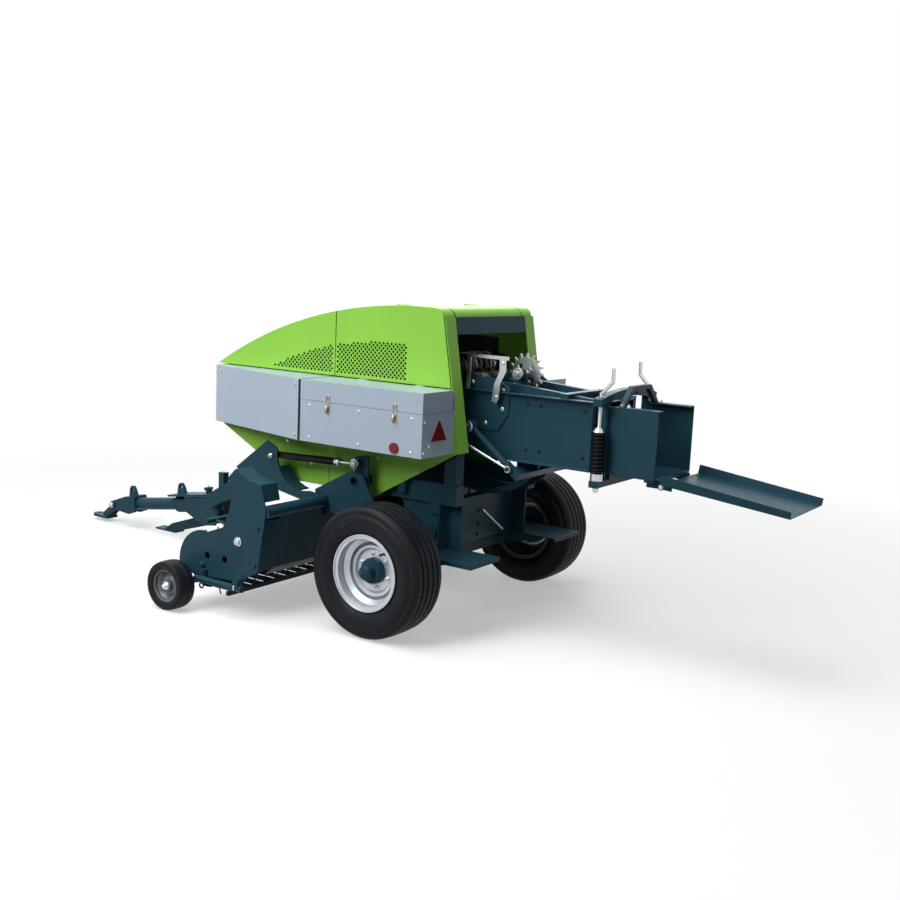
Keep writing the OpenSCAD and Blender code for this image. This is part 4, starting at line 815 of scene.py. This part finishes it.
# The lift cylinders hold the pickup: a black barrel with a gland nut and a bright chromed rod, pinned
# between the lift arm and the hanger. The gauge arms are clamped under the end plates.
dress(black_paint, "lift_barrel_left", "lift_barrel_right")
dress(chrome.material, "lift_rod_left", "lift_rod_right")
lift_pin, eye_pin = np.array([1.009, 0.600, 0.884]), np.array([0.372, 0.600, 0.911])
lift_len = np.linalg.norm(eye_pin - lift_pin)
lift_way = (eye_pin - lift_pin) / lift_len
gland = turned_rows([(0.0215, 0.0), (0.0255, 0.0), (0.027, 0.0015), (0.027, 0.023), (0.0255, 0.0245),
                     (0.0245, 0.030), (0.0125, 0.030), (0.0125, 0.0285), (0.0215, 0.0285), (0.0215, 0.0)])
gland_place = lift_pin + (lift_len - 0.146) * lift_way
hanger_face, arm_face = eye_pin + [0.0, 0.022, 0.0], lift_pin + [0.0, 0.046, 0.0]
gauge_arm_y = end_y + 0.026
clamp_r, eye_r = 0.022, 0.016
band = np.linspace(-0.6 * np.pi, 0.6 * np.pi, 33) + np.pi / 2
clamp = np.stack([np.full(33, 0.781), gauge_arm_y + clamp_r * np.cos(band),
                  0.186 + clamp_r * np.sin(band)], axis=-1)
eye_turn = np.linspace(0.0, 2.0 * np.pi, 40, endpoint=False)
eye = np.stack([1.066 + eye_r * np.cos(eye_turn), np.full(40, gauge_arm_y),
                0.149 + eye_r * np.sin(eye_turn)], axis=-1)
for side, hand in hands:
    facing, mirror = (0, hand, 0), np.array([1.0, hand, 1.0])
    raised(f"gland_nut_{side}", [gland_place * mirror], lift_way, *gland, bright_steel, f"barrel_{side}",
           "bright_steel")
    bolts(f"hanger_pin_nut_{side}", [hanger_face * mirror], facing, 0.016, zinc_plate, "chassis",
          "bright_steel", 0.006)
    bolts(f"lift_pin_nut_{side}", [arm_face * mirror], facing, 0.014, zinc_plate, "pickup",
          "bright_steel", 0.006)
    tube(f"gauge_clamp_{side}", clamp * mirror, 0.005, bright_steel, "pickup", 8, (1, 0, 0))
    tube(f"gauge_arm_eye_{side}", eye * mirror, 0.005, teal_paint, "pickup", 8, (0, 1, 0),
         loop=True)

# The stage is a pale floor under even daylight from high, wide lamps. The camera stands behind the
# machine's left corner, a little above head height, where the picture was taken.
def lamp(name, place, target, size, watts):
    """A square soft lamp at a place, turned to face a target."""
    light = bpy.data.lights.new(name, "AREA")
    light.size = size
    light.energy = watts
    lamp_object = bpy.data.objects.new(name, light)
    lamp_object.location = place
    lamp_object.rotation_euler = (Vector(target) - Vector(place)).to_track_quat("-Z", "Y").to_euler()
    bpy.context.collection.objects.link(lamp_object)


lamp("sky_lamp", (1.0, 2.0, 7.5), (0.0, 0.0, 0.9), 6.0, 456.0)
lamp("left_lamp", (1.5, 7.6, 6.0), (0.0, 0.0, 0.9), 4.5, 470.0)
lamp("rear_lamp", (-7.5, 1.0, 4.5), (-1.0, 0.0, 1.0), 3.5, 46.0)
lamp("right_lamp", (4.0, -6.5, 4.5), (0.0, 0.0, 0.9), 4.5, 122.0)


def by_ray(tree, hidden, seen):
    """The seen shader for rays from the camera, through glass or off gloss, the hidden one for the rest."""
    path = tree.nodes.new("ShaderNodeLightPath")
    share = path.outputs["Is Camera Ray"]
    for kind in ("Is Transmission Ray", "Is Glossy Ray"):
        either = tree.nodes.new("ShaderNodeMath")
        either.operation = "MAXIMUM"
        tree.links.new(share, either.inputs[0])
        tree.links.new(path.outputs[kind], either.inputs[1])
        share = either.outputs["Value"]
    blend = tree.nodes.new("ShaderNodeMixShader")
    for socket, source in zip(blend.inputs, (share, hidden, seen)):
        tree.links.new(source, socket)
    return blend.outputs["Shader"]


world = bpy.data.worlds.new("daylight")
world.use_nodes = True
bpy.context.scene.world = world
sky = world.node_tree.nodes["Background"]
sky.inputs["Color"].default_value = (0.9, 0.95, 1.0, 1.0)
sky.inputs["Strength"].default_value = 0.2
blank = world.node_tree.nodes.new("ShaderNodeBackground")
blank.inputs["Color"].default_value = (1.0, 1.0, 1.0, 1.0)
blank.inputs["Strength"].default_value = 1.0
daylight = by_ray(world.node_tree, sky.outputs["Background"], blank.outputs["Background"])
world.node_tree.links.new(daylight, world.node_tree.nodes["World Output"].inputs["Surface"])

floor_half = 30.0
floor_mesh = bpy.data.meshes.new("studio_floor")
corners = [(-floor_half, -floor_half, 0), (floor_half, -floor_half, 0),
           (floor_half, floor_half, 0), (-floor_half, floor_half, 0)]
floor_mesh.from_pydata(corners, [], [(0, 1, 2, 3)])
floor = bpy.data.objects.new("studio_floor", floor_mesh)
bpy.context.collection.objects.link(floor)
pale = Finish("pale_floor")
pale.give(Base_Color=(0.98, 0.98, 0.98, 1.0), Roughness=0.9, Specular_IOR_Level=0.1)
glow = pale.nodes.new("ShaderNodeEmission")
far = pale.nodes.new("ShaderNodeVectorMath")
far.operation = "LENGTH"
pale.link(pale.place, far.inputs[0])
fade = pale.nodes.new("ShaderNodeMixShader")
pale.link(pale.spread(far.outputs["Value"], 0.4, 1.0, 2.6, 6.0), fade.inputs["Fac"])
pale.link(pale.shader.outputs["BSDF"], fade.inputs[1])
pale.link(glow.outputs["Emission"], fade.inputs[2])
dull = pale.nodes.new("ShaderNodeBsdfDiffuse")
dull.inputs["Color"].default_value = (0.13, 0.13, 0.13, 1.0)
ground = by_ray(pale.material.node_tree, dull.outputs["BSDF"], fade.outputs["Shader"])
pale.link(ground, pale.nodes["Material Output"].inputs["Surface"])
floor_mesh.materials.append(pale.material)

camera_place = axle + np.array([-3.932, 5.879, 2.072])
yaw, pitch, roll = np.radians([-55.491, -8.834, 2.484])
forward = np.array([math.cos(yaw) * math.cos(pitch), math.sin(yaw) * math.cos(pitch), math.sin(pitch)])
level = np.cross(forward, [0.0, 0.0, 1.0])
level /= np.linalg.norm(level)
upright = np.cross(level, forward)
turned = np.eye(4)
turned[:3, 0] = level * math.cos(roll) + upright * math.sin(roll)
turned[:3, 1] = upright * math.cos(roll) - level * math.sin(roll)
turned[:3, 2] = -forward
turned[:3, 3] = camera_place
view_lens = bpy.data.cameras.new("camera")
view_lens.lens = 46.63
camera = bpy.data.objects.new("camera", view_lens)
camera.matrix_world = Matrix(turned.tolist())
bpy.context.collection.objects.link(camera)
bpy.context.scene.camera = camera
bpy.context.scene.view_settings.view_transform = "Standard"
